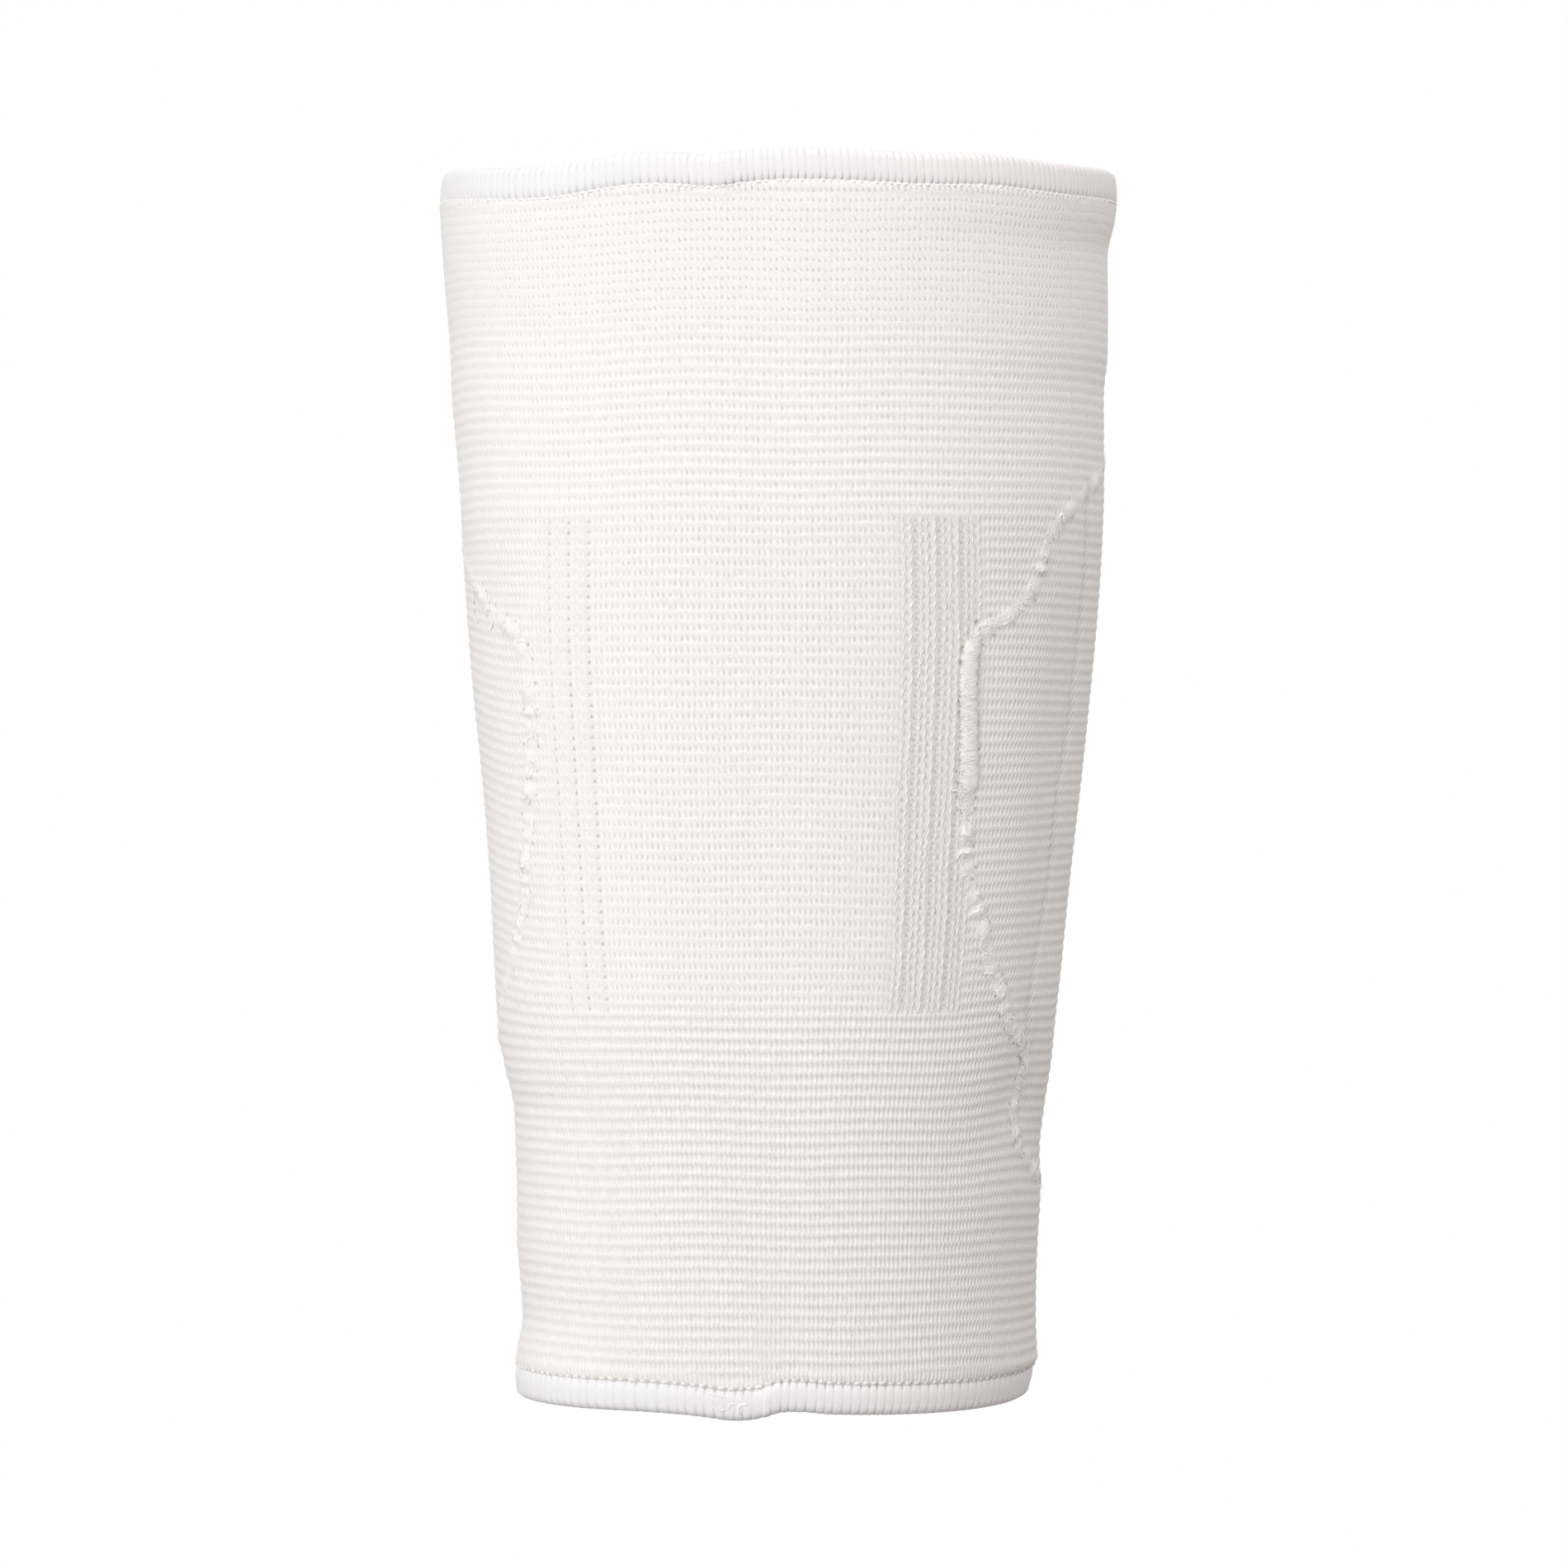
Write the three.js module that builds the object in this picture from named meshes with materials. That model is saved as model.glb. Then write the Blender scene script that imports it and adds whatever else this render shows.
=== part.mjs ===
// Volleyball knee pad: a ribbed knit sleeve with wrapped hems and a foam pad inside its front.
// Millimetres, +Z up towards the thigh. The origin is the middle of the knee, on the leg's axis.
// Turns are degrees round that axis, from the back of the knee (-Y) towards +X.
import * as THREE from 'three';

// Sleeve, measured outside the knit
const LENGTH = 267;
const THIGH_WIDTH = 147;
const KNEE_WIDTH = 130;
const SHIN_WIDTH = 113;
const THIGH_DEPTH = 127;
const KNEE_DEPTH = 116;
const SHIN_DEPTH = 96;
const WALL = 2;

// How square each quarter of the section is: 2 is an ellipse
const BACK_LEFT_SQUARENESS = 2.65;
const BACK_RIGHT_SQUARENESS = 2.1;
const FRONT_SQUARENESS = 2.1;

// Hems: yarn wrapped over both faces of the knit's edge
const HEM_HEIGHT = 6.6;
const YARN = 1;
const HEM_PROUD = 0.2;
const EDGE_WALL = 1.2;
const HEM_STEP_OUT = 1.6;
const TOP_RIM_DIP = 3;
const BOTTOM_RIM_DIP = 2;
const RIM_REACH = 45;

// Foam pad, its middle a little to the right of straight ahead
const PAD_TURN = 172.5;
const PAD_HALF_TURN = 104;
const PAD_TOP = 74;
const PAD_BOTTOM = -80;
const PAD_THICKNESS = 15;
const PAD_SINK = 3;
const PAD_SHOULDER = 54;
const PAD_OUTLINE_SQUARENESS = 4;
const PAD_END_SHARE = 0.985;
const CREASE_DEPTH = 1.3;

// Clearances between pieces
const GAP = 0.3;
const PAD_GAP = 0.4;

// Steps of the faceted surfaces
const COLUMNS = 56;
const PAD_ROWS = 16;
const PAD_COLUMNS = 20;
const END_ROWS = 5;

const TOP = LENGTH / 2;
const BOTTOM = -LENGTH / 2;
const PAD_MIDDLE = (PAD_TOP + PAD_BOTTOM) / 2;
const PAD_HALF_HEIGHT = (PAD_TOP - PAD_BOTTOM) / 2;
const PAD_RISE = PAD_THICKNESS - PAD_SINK;

// The two sides, as shares of the half width at each height (0 is the shin end, 1 the thigh end)
const SIDES = [
  { height: 0.0, left: 1.013, right: 0.951 },
  { height: 0.02, left: 1.013, right: 0.961 },
  { height: 0.035, left: 1.006, right: 0.983 },
  { height: 0.055, left: 0.984, right: 0.97 },
  { height: 0.075, left: 0.972, right: 0.963 },
  { height: 0.116, left: 0.98, right: 0.956 },
  { height: 0.176, left: 0.966, right: 0.953 },
  { height: 0.224, left: 0.962, right: 0.938 },
  { height: 0.244, left: 0.961, right: 0.956 },
  { height: 0.264, left: 0.977, right: 0.963 },
  { height: 0.284, left: 0.993, right: 0.965 },
  { height: 0.338, left: 0.998, right: 0.977 },
  { height: 0.419, left: 0.994, right: 0.99 },
  { height: 0.5, left: 0.998, right: 1.007 },
  { height: 0.581, left: 1.011, right: 1.02 },
  { height: 0.662, left: 1.014, right: 1.027 },
  { height: 0.743, left: 1.011, right: 1.02 },
  { height: 0.824, left: 1.017, right: 1.0 },
  { height: 0.864, left: 1.012, right: 1.004 },
  { height: 0.904, left: 1.016, right: 0.991 },
  { height: 0.938, left: 1.016, right: 0.985 },
  { height: 0.965, left: 1.016, right: 1.0 },
  { height: 1.0, left: 0.996, right: 0.99 },
];

// How the top rim lies, as shares of TOP_RIM_DIP: it dips on the left and steps at the hem's join
const TOP_RIM = [
  { turn: -180, lift: 0 },
  { turn: -110, lift: -0.1 },
  { turn: -75, lift: -0.4 },
  { turn: -58, lift: -0.8 },
  { turn: -48, lift: -1 },
  { turn: -38, lift: -0.85 },
  { turn: -29, lift: -0.28 },
  { turn: -20, lift: -0.25 },
  { turn: -13, lift: -0.45 },
  { turn: -7, lift: -0.15 },
  { turn: -1, lift: 0.02 },
  { turn: 12, lift: 0 },
  { turn: 28, lift: -0.16 },
  { turn: 40, lift: -0.06 },
  { turn: 58, lift: -0.35 },
  { turn: 80, lift: -0.2 },
  { turn: 120, lift: 0 },
  { turn: 180, lift: 0 },
];

// The bottom rim, as shares of BOTTOM_RIM_DIP: low at the join, drawn up at the right
const BOTTOM_RIM = [
  { turn: -180, lift: 0 },
  { turn: -100, lift: 0.1 },
  { turn: -75, lift: 0.4 },
  { turn: -50, lift: 0.2 },
  { turn: -30, lift: 0 },
  { turn: -20, lift: -0.35 },
  { turn: -10, lift: -0.8 },
  { turn: -5, lift: -0.5 },
  { turn: 1, lift: 0.2 },
  { turn: 12, lift: -0.1 },
  { turn: 32, lift: -0.3 },
  { turn: 50, lift: -0.25 },
  { turn: 66, lift: 0 },
  { turn: 82, lift: 0.35 },
  { turn: 110, lift: 0.3 },
  { turn: 150, lift: 0 },
  { turn: 180, lift: 0 },
];

// Dents beside the foam's right edge: turns from that edge, heights and reaches in half pad heights
const DENTS = [
  { turn: 0, height: 0, turnReach: 9, heightReach: 0.62, depth: 1 },
  { turn: -6, height: -0.82, turnReach: 9, heightReach: 0.13, depth: 0.9 },
];

function smoothTable(rows, key, columns) {
  const places = rows.map((row) => row[key]);
  const values = rows.flatMap((row) => columns.map((column) => row[column]));
  return new THREE.CubicInterpolant(places, values, columns.length);
}

const sideTable = smoothTable(SIDES, 'height', ['left', 'right']);
const topRimTable = smoothTable(TOP_RIM, 'turn', ['lift']);
const bottomRimTable = smoothTable(BOTTOM_RIM, 'turn', ['lift']);

function wrapTurn(turn) {
  return THREE.MathUtils.euclideanModulo(turn + 180, 360) - 180;
}

// A value that passes through three named sizes at the shin end, the knee and the thigh end
function throughThree(shin, knee, thigh, share) {
  const shinPart = (1 - share) * (1 - 2 * share);
  const kneePart = 4 * share * (1 - share);
  const thighPart = share * (2 * share - 1);
  return shin * shinPart + knee * kneePart + thigh * thighPart;
}

// 1 well inside the foam's height, falling to 0 at its top and bottom edge
function crown(height) {
  const fromMiddle = Math.abs(height - PAD_MIDDLE);
  return 1 - THREE.MathUtils.smoothstep(fromMiddle, PAD_HALF_HEIGHT - PAD_SHOULDER, PAD_HALF_HEIGHT);
}

// Radius of the worn sleeve's outline at a turn, with its front pushed out by rise
function outlineRadius(turn, height, rise) {
  const share = THREE.MathUtils.clamp(height / LENGTH + 0.5, 0, 1);
  const halfWidth = throughThree(SHIN_WIDTH, KNEE_WIDTH, THIGH_WIDTH, share) / 2;
  const halfDepth = throughThree(SHIN_DEPTH, KNEE_DEPTH, THIGH_DEPTH, share) / 2;
  const [left, right] = sideTable.evaluate(share);
  const angle = THREE.MathUtils.degToRad(turn);
  const isRight = Math.sin(angle) >= 0;
  const isBack = Math.cos(angle) >= 0;
  const backSquareness = isRight ? BACK_RIGHT_SQUARENESS : BACK_LEFT_SQUARENESS;
  const squareness = isBack ? backSquareness : FRONT_SQUARENESS;
  const across = Math.abs(Math.sin(angle)) / (halfWidth * (isRight ? right : left));
  const along = Math.abs(Math.cos(angle)) / (isBack ? halfDepth : halfDepth + rise);
  return (across ** squareness + along ** squareness) ** (-1 / squareness);
}

function dentDepth(turn, height) {
  const foamEdge = PAD_TURN - PAD_HALF_TURN;
  let depth = 0;
  for (const dent of DENTS) {
    const turnsAway = wrapTurn(turn - foamEdge - dent.turn) / dent.turnReach;
    const heightsAway = ((height - PAD_MIDDLE) / PAD_HALF_HEIGHT - dent.height) / dent.heightReach;
    depth += CREASE_DEPTH * dent.depth * Math.exp(-(turnsAway ** 2) - heightsAway ** 4);
  }
  return depth;
}

// 1 where the hem grips the knit, 0 where the knit is free
function grip(height) {
  const fromEnd = Math.min(TOP - height, height - BOTTOM);
  return 1 - THREE.MathUtils.smoothstep(fromEnd, HEM_HEIGHT + GAP, HEM_HEIGHT + GAP + HEM_STEP_OUT);
}

function outerRadius(turn, height) {
  const pinch = (GAP + YARN - HEM_PROUD) * grip(height);
  return outlineRadius(turn, height, PAD_RISE * crown(height)) - dentDepth(turn, height) - pinch;
}

function innerRadius(turn, height) {
  return outerRadius(turn, height) - THREE.MathUtils.lerp(WALL, EDGE_WALL, grip(height));
}

// Both rims wander a little, and the knit near them follows
function rimLift(turn, height) {
  const nearTop = 1 - THREE.MathUtils.smoothstep(TOP - height, HEM_HEIGHT, RIM_REACH);
  const nearBottom = 1 - THREE.MathUtils.smoothstep(height - BOTTOM, HEM_HEIGHT, RIM_REACH);
  const topLift = TOP_RIM_DIP * topRimTable.evaluate(wrapTurn(turn))[0];
  const bottomLift = BOTTOM_RIM_DIP * bottomRimTable.evaluate(wrapTurn(turn))[0];
  return topLift * nearTop + bottomLift * nearBottom;
}

function place(turn, radius, height) {
  const angle = THREE.MathUtils.degToRad(turn);
  return [radius * Math.sin(angle), -radius * Math.cos(angle), height + rimLift(turn, height)];
}

function geometryFrom(positions, faces) {
  const geometry = new THREE.BufferGeometry();
  geometry.setAttribute('position', new THREE.Float32BufferAttribute(positions, 3));
  geometry.setIndex(faces);
  geometry.computeVertexNormals();
  return geometry;
}

// A closed ring round the leg. sectionAt(turn) lists its section: up outside, then down inside
function ringGeometry(sectionAt) {
  const positions = [];
  const faces = [];
  let size = 0;
  for (let column = 0; column < COLUMNS; column += 1) {
    const turn = (360 * column) / COLUMNS;
    const section = sectionAt(turn);
    size = section.length;
    for (const point of section) positions.push(...place(turn, point.radius, point.height));
  }
  for (let column = 0; column < COLUMNS; column += 1) {
    const here = column * size;
    const next = ((column + 1) % COLUMNS) * size;
    for (let step = 0; step < size; step += 1) {
      const after = (step + 1) % size;
      faces.push(here + step, next + step, next + after);
      faces.push(here + step, next + after, here + after);
    }
  }
  return geometryFrom(positions, faces);
}

function evenSteps(from, to, count) {
  return Array.from({ length: count }, (_, step) => from + ((to - from) * step) / count);
}

// Heights of the sleeve's rows, with one at each end of the foam and two where a hem lets go
function sleeveHeights() {
  const edge = GAP + YARN;
  const gripEnd = HEM_HEIGHT + GAP;
  const free = gripEnd + HEM_STEP_OUT;
  return [
    BOTTOM + edge,
    BOTTOM + gripEnd,
    ...evenSteps(BOTTOM + free, PAD_BOTTOM, END_ROWS),
    ...evenSteps(PAD_BOTTOM, PAD_TOP, PAD_ROWS),
    ...evenSteps(PAD_TOP, TOP - free, END_ROWS),
    TOP - free,
    TOP - gripEnd,
    TOP - edge,
  ];
}

function sleeveSection(turn) {
  const heights = sleeveHeights();
  const outside = heights.map((height) => ({ radius: outerRadius(turn, height), height }));
  const inside = heights.map((height) => ({ radius: innerRadius(turn, height), height }));
  return [...outside, ...inside.reverse()];
}

// Section of the wrapped hem on one rim. way is 1 at the thigh end and -1 at the shin end
function hemSection(turn, way) {
  const rim = way * TOP;
  const lip = rim - way * HEM_HEIGHT;
  const throat = rim - way * YARN;
  const wrap = GAP + YARN;
  const roundness = wrap + EDGE_WALL / 2;
  const lipRise = way * YARN;
  const outside = (height, out) => ({ radius: outerRadius(turn, height) + out, height });
  const inside = (height, out) => ({ radius: innerRadius(turn, height) - out, height });
  const crest = (degrees) => {
    const angle = THREE.MathUtils.degToRad(degrees);
    const middle = outerRadius(turn, rim) - EDGE_WALL / 2;
    const height = rim - way * roundness * (1 - Math.sin(angle));
    return { radius: middle + roundness * Math.cos(angle), height };
  };
  const section = [
    outside(lip, GAP),
    outside(lip, GAP + YARN / 2),
    outside(lip + lipRise, wrap),
    crest(0),
    crest(45),
    crest(90),
    crest(135),
    crest(180),
    inside(lip + lipRise, wrap),
    inside(lip, GAP + YARN / 2),
    inside(lip, GAP),
    inside(throat, GAP),
    outside(throat, GAP),
  ];
  return way > 0 ? section : section.reverse();
}

// Half of the foam's spread round the knee at a height: its outline is a rounded rectangle
function padHalfTurn(height) {
  const away = (PAD_END_SHARE * Math.abs(height - PAD_MIDDLE)) / PAD_HALF_HEIGHT;
  return PAD_HALF_TURN * (1 - away ** PAD_OUTLINE_SQUARENESS) ** (1 / PAD_OUTLINE_SQUARENESS);
}

// The foam: one face against the knit, the other where the bare knee lies
function padGeometry() {
  const positions = [];
  const faces = [];
  const rowSize = PAD_COLUMNS + 1;
  const faceSize = rowSize * (PAD_ROWS + 1);
  const outerFace = (turn, height) => innerRadius(turn, height) - PAD_GAP;
  const kneeFace = (turn, height) => outlineRadius(turn, height, 0) - WALL - PAD_SINK;
  for (const radiusAt of [outerFace, kneeFace]) {
    for (let row = 0; row <= PAD_ROWS; row += 1) {
      const height = THREE.MathUtils.lerp(PAD_BOTTOM, PAD_TOP, row / PAD_ROWS);
      for (let column = 0; column <= PAD_COLUMNS; column += 1) {
        const turn = PAD_TURN + padHalfTurn(height) * ((2 * column) / PAD_COLUMNS - 1);
        positions.push(...place(turn, radiusAt(turn, height), height));
      }
    }
  }
  const quad = (a, b, c, d) => faces.push(a, b, c, a, c, d);
  for (let row = 0; row < PAD_ROWS; row += 1) {
    for (let column = 0; column < PAD_COLUMNS; column += 1) {
      const corner = row * rowSize + column;
      const above = corner + rowSize;
      quad(corner, corner + 1, above + 1, above);
      quad(faceSize + corner, faceSize + above, faceSize + above + 1, faceSize + corner + 1);
    }
    const start = row * rowSize;
    const end = start + PAD_COLUMNS;
    quad(start, start + rowSize, faceSize + start + rowSize, faceSize + start);
    quad(end + rowSize, end, faceSize + end, faceSize + end + rowSize);
  }
  for (let column = 0; column < PAD_COLUMNS; column += 1) {
    const top = PAD_ROWS * rowSize + column;
    quad(column + 1, column, faceSize + column, faceSize + column + 1);
    quad(top, top + 1, faceSize + top + 1, faceSize + top);
  }
  return geometryFrom(positions, faces);
}

const knitMaterial = new THREE.MeshStandardMaterial({ color: 0xf4f2ee, roughness: 0.95, metalness: 0 });
const hemMaterial = new THREE.MeshStandardMaterial({ color: 0xecebea, roughness: 0.9, metalness: 0 });
const padMaterial = new THREE.MeshStandardMaterial({ color: 0xe8e5df, roughness: 1, metalness: 0 });

function piece(name, geometry, material) {
  const mesh = new THREE.Mesh(geometry, material);
  mesh.name = name;
  return mesh;
}

const kneePad = new THREE.Group();
kneePad.add(piece('knit_sleeve', ringGeometry(sleeveSection), knitMaterial));
kneePad.add(piece('top_hem', ringGeometry((turn) => hemSection(turn, 1)), hemMaterial));
kneePad.add(piece('bottom_hem', ringGeometry((turn) => hemSection(turn, -1)), hemMaterial));
kneePad.add(piece('knee_pad', padGeometry(), padMaterial));

export default kneePad;
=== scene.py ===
"""Blender scene of a ribbed knit volleyball knee pad, held up as on a leg and seen from behind the knee.

Metres, +Z towards the thigh, -Y the back of the knee. Turns are degrees round the leg from the back
towards +X. Tables hold millimetres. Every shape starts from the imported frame's own surfaces.
"""

import bmesh
import bpy
import numpy as np
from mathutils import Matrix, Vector
from mathutils.kdtree import KDTree


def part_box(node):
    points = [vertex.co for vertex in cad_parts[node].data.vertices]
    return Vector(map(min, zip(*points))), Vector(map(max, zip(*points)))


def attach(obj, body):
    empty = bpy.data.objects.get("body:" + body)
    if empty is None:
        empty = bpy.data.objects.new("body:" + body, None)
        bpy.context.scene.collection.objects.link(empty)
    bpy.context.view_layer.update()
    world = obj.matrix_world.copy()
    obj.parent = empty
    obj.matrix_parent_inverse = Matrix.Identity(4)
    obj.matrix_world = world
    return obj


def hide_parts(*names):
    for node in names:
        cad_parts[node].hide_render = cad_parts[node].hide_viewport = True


MM = 0.001
SEED = 7


def table(columns, *rows):
    """One record with named columns for each row."""
    return [dict(zip(columns.split(), row)) for row in rows]


# The camera stands level behind the knee, square to the sleeve
CAMERA_DISTANCE = 1.67
CAMERA_SIDE = 0.7 * MM
VIEW_WIDTH = 342 * MM
SENSOR = 36.0

# Light from all round, greyer and warmer from below, and four softboxes aimed at the knee
STUDIO_BELOW = (0.17, 0.145, 0.14)
STUDIO_ABOVE = (0.88, 0.855, 0.845)
LAMPS = table(
    "name place size power colour",
    ("key", (-1.5, -1.7, 1.1), 1.3, 20.4, (0.955, 0.985, 0.995)),
    ("front", (-0.9, -2.0, -0.35), 1.2, 15.2, (0.965, 0.99, 1.0)),
    ("left", (-1.5, -0.5, -0.7), 1.2, 1.6, (0.985, 0.99, 1.0)),
    ("right", (0.52, -0.30, 0.60), 0.3, 1.55, (1.0, 0.975, 0.965)),
)
FLOOR_HEIGHT = -0.3
FLOOR_HALF = 6
FLOOR_CORNERS = ((-1, -1), (1, -1), (1, 1), (-1, 1))

# The knit: loops counted round the sleeve, ribs up it. Its panel lies between the two ladders
WALES = 338
WALE_ZERO_TURN = -6
ROWS_PER_RIB = 5
INNER_ROWS = 30
PANEL_TOP = 56 * MM
PANEL_BOTTOM = -48 * MM
PANEL_EDGE = 1 * MM
# Beside the panel the knit has deeper ribs and dashes, between these heights
SIDE_BAND = (-49 * MM, 57 * MM, 3 * MM)
SIDE_DEPTH = 0.05
PANEL_TURN = -4
PANEL_HALF_TURNS = (42, 47)
# Loops lean away from this turn on both sides, more and more over the first turns from it and less and
# less over the last. All of them lean a little besides
LEAN_TURN = -5
LEAN_STARTS = (25, 70)
LEAN_ENDS = (135, 170)
LEAN_OF_ALL = 0.12
# On the lit left side the knit's painted shade, in its holes, valleys and ladders, shows only by this share:
# a painted light. Counted from the turn above, it fades over the first turns and comes back over the others
LIT_SIDE_SHADE_SHARE = 0.55
SHADE_FADE_TURNS = (-165, -110)
SHADE_RETURN_TURNS = (-62, -8)
# The knit is tighter above these heights
TIGHT_KNIT = (94 * MM, 98 * MM)
# Beside the panel tears give way to dashes by these shares
FEWER_TEARS = 0.8
MORE_DASHES = 0.75
# This share of a rib's depth lies inside the smooth wall. Ribs stand less beside the hems, across the seam
# and in the ladders
RIB_BASE = 0.75
RIB_STARTS = (5.5 * MM, 9 * MM)
SEAM_FLATTENS = 0.8
LADDER_FLATTENS = 0.55
LADDER_SINK = 0.08 * MM
# How fast, in waves round the leg, the rows still follow the rims' bumps, and how many ribs they waver
ROW_WAVES = 3.5
ROW_WAVER = 0.13
# The step in degrees of the table of their shift
SHIFT_STEP = 2.0
# The pocket pulls rows up: from the turns where that starts and is full, and between two heights
ROW_PULLS = table(
    "start end low high rise",
    (-46, -80, -50, 42, 2.8),
    (40, 74, -85, 8, 1.6),
)
PULL_ENDS = (95, 140)
PULL_EDGE = 12 * MM

# Rib spacing, how deep the ribs stand, and how much of each kind of stitch shows, by height
RIB_TABLE = table(
    "height pitch depth tear oval dash",
    (-134, 2.44, 0.19, 0.0, 0.0, 1.0),
    (-60, 2.44, 0.23, 0.0, 0.0, 1.0),
    (-50, 2.36, 0.23, 0.0, 0.1, 0.9),
    (-44, 2.30, 0.13, 1.0, 0.0, 0.0),
    (54, 2.30, 0.13, 1.0, 0.0, 0.0),
    (60, 2.34, 0.17, 0.0, 1.0, 0.0),
    (94, 2.34, 0.15, 0.1, 0.9, 0.0),
    (100, 2.12, 0.05, 0.85, 0.0, 0.0),
    (134, 2.12, 0.04, 0.85, 0.0, 0.0),
)

# Spans of turns and the step between mesh columns in each: fine where the seam and ladders run
COLUMN_SPANS = table(
    "start end step",
    (-95, -64, 1.6),
    (-64, -40, 0.9),
    (-40, 24, 2.7),
    (24, 34, 1.3),
    (34, 46, 0.9),
    (46, 66, 1.2),
    (66, 76, 0.8),
    (76, 82, 1.5),
    (82, 265, 5.5),
)

# The ladders beside the panel, left and right, placed by loops: zero is at a scalloped strand and the
# columns repeat from there. Threads are raised strands, and only the right ladder has them
LADDERS = table(
    "first last zero repeat strength dots threads",
    (-38.0, -26.4, -34.5, -3.8, 0.45, 1.0, False),
    (25.4, 40.6, 27.05, 4.27, 1.0, 0.55, True),
)
LADDER_EDGE = 0.8
LADDER_COLUMNS = 4
# The left ladder's dark dots grow between these loops, from the first share to the sum of both
DOTS_GROW = (-37.0, -28.5)
DOTS_FIRST, DOTS_MORE = 0.45, 0.75
# Across one repeat: where its raised strands run, how far they swing and how thick they are
LADDER_STRANDS = table(
    "place swing radius lift",
    (0.00, 0.34, 0.22, -0.04),
    (1.78, -0.14, 0.18, -0.06),
    (2.87, 0.14, 0.18, -0.06),
)
# Strands that swing further than this are scalloped borders
SCALLOP_SWING = 0.3
LADDER_THREAD_STEP = 0.21 * MM

# The pocket's seam once round the pad, as turn, height, and how much its yarn stands out
SEAM_ROUTE = [
    (180, 80, 0.1), (145, 79, 0.1), (110, 75, 0.15), (86, 69, 0.2), (69, 62, 0.25), (58.5, 53.7, 0.3),
    (54.8, 44, 0.3), (52.6, 40.4, 0.4), (49.2, 36.8, 0.35), (45.3, 34.1, 0.4), (41.8, 32.6, 0.45),
    (40, 30, 0.6), (39.2, 26.5, 0.9), (39.1, 20, 1.0), (39.7, 12, 1.0), (40, 6, 1.0),
    (40.3, 1, 0.9), (39.9, -2.5, 0.5), (40.3, -8.8, 0.3), (40.5, -16, 0.45), (43, -24, 0.3),
    (45.6, -30, 0.45), (48.6, -39, 0.3), (52.9, -45, 0.45), (56, -51, 0.35), (62, -55.2, 0.5),
    (65.6, -60, 0.45), (64, -65.6, 0.4), (63.1, -72.7, 0.35), (67, -79, 0.3), (78, -84.6, 0.25),
    (92, -87, 0.15), (115, -90, 0.1), (145, -91, 0.1), (180, -90, 0.1), (215, -85, 0.1),
    (243, -73, 0.1), (265, -62, 0.15), (283, -52, 0.2), (292, -44, 0.2), (299, -35, 0.25),
    (303, -26, 0.35), (304.5, -19, 0.3), (305.5, -12, 0.35), (307.2, -3, 0.3), (308.7, 8, 0.35),
    (309.3, 15.6, 0.35), (309, 22.4, 0.4), (308.6, 27, 0.4), (306, 32.3, 0.3), (299.5, 36.5, 0.3),
    (294, 41.5, 0.35), (284, 48, 0.2), (266, 58, 0.15), (243, 67, 0.1), (215, 75, 0.1),
]
SEAM_STEP = 0.4 * MM
SEAM_REACH = 9 * MM
SEAM_FURROW = 0.30 * MM
SEAM_FURROW_WIDTH = 1.6 * MM
SEAM_SWELL = 1.0 * MM
SEAM_SWELL_PITCH = 4.6 * MM
SEAM_STITCH = 2.9 * MM
SEAM_WIDTH = 1.95 * MM
# Over these ranges of how much its yarn stands out the knit sinks in, swells, and the body shows
FURROW_BULK = (0.3, 0.8)
LOOSE_BULK = (0.14, 0.28)
BODY_BULK = (0.35, 0.80)
# Where loose filaments show, as shares of the seam's length, and how many each half stitch has
YARN_SPAN = (0.10, 0.46)
YARN_FILAMENTS = 14
HAIRS = 600

# Bends of loose yarn: middle, size, how tall for their width, yarn thickness, the arc in degrees, and how
# far they stand out over the hems
CURL_COLUMNS = "turn height size tall thick start sweep out"
CURLS = table(
    CURL_COLUMNS,
    (-6.2, 133.4, 6.0, 1.0, 0.20, 199, 42, 1.45),
    (-9.0, 127.9, 1.3, 0.5, 0.24, 20, 150, 1.1),
    (-7.6, 127.2, 1.1, 0.6, 0.20, 190, 140, 1.0),
    (-16.5, -129.0, 1.5, 0.7, 0.11, 10, 120, 1.3),
    (-15.2, -130.2, 1.7, 0.6, 0.10, 200, 110, 1.4),
    (-13.4, -129.2, 1.2, 0.8, 0.12, 330, 150, 1.35),
    (-11.6, -130.4, 1.2, 0.7, 0.12, 60, 150, 1.3),
    (-9.4, -130.8, 1.3, 0.8, 0.16, 40, 200, 1.3),
    (-10.6, -127.3, 1.9, 0.5, 0.13, 20, 130, 0.7),
    (-7.2, -126.6, 2.3, 0.4, 0.12, 200, 120, 0.6),
    (-4.0, -127.0, 2.0, 0.5, 0.12, 40, 110, 0.6),
    (40.9, 22.8, 1.3, 1.5, 0.16, 100, 120, 0),
    (38.9, -2.0, 2.6, 0.9, 0.15, 20, 75, 0),
    (37.0, -0.5, 1.5, 0.6, 0.12, 200, 110, 0),
    (-55.2, -19.0, 1.5, 1.0, 0.17, 60, 170, 0),
    (-57.0, -26.8, 1.5, 0.9, 0.17, 70, 170, 0),
    (-53.0, 3.0, 2.2, 1.3, 0.16, -40, 80, 0),
    (-54.0, -9.0, 2.2, 1.3, 0.16, -30, 70, 0),
    (-68.0, 38.0, 2.4, 1.3, 0.19, 80, 200, 0),
    (-62.0, 35.0, 1.7, 1.2, 0.17, 250, 150, 0),
)
CURL_STRANDS = 3
# Tufts along the seam where its yarn stands out this much, fewer on the left
TUFT_PITCH = 1.5 * MM
TUFT_BULK = (0.28, 0.62)
LEFT_TUFTS = 0.35

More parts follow.
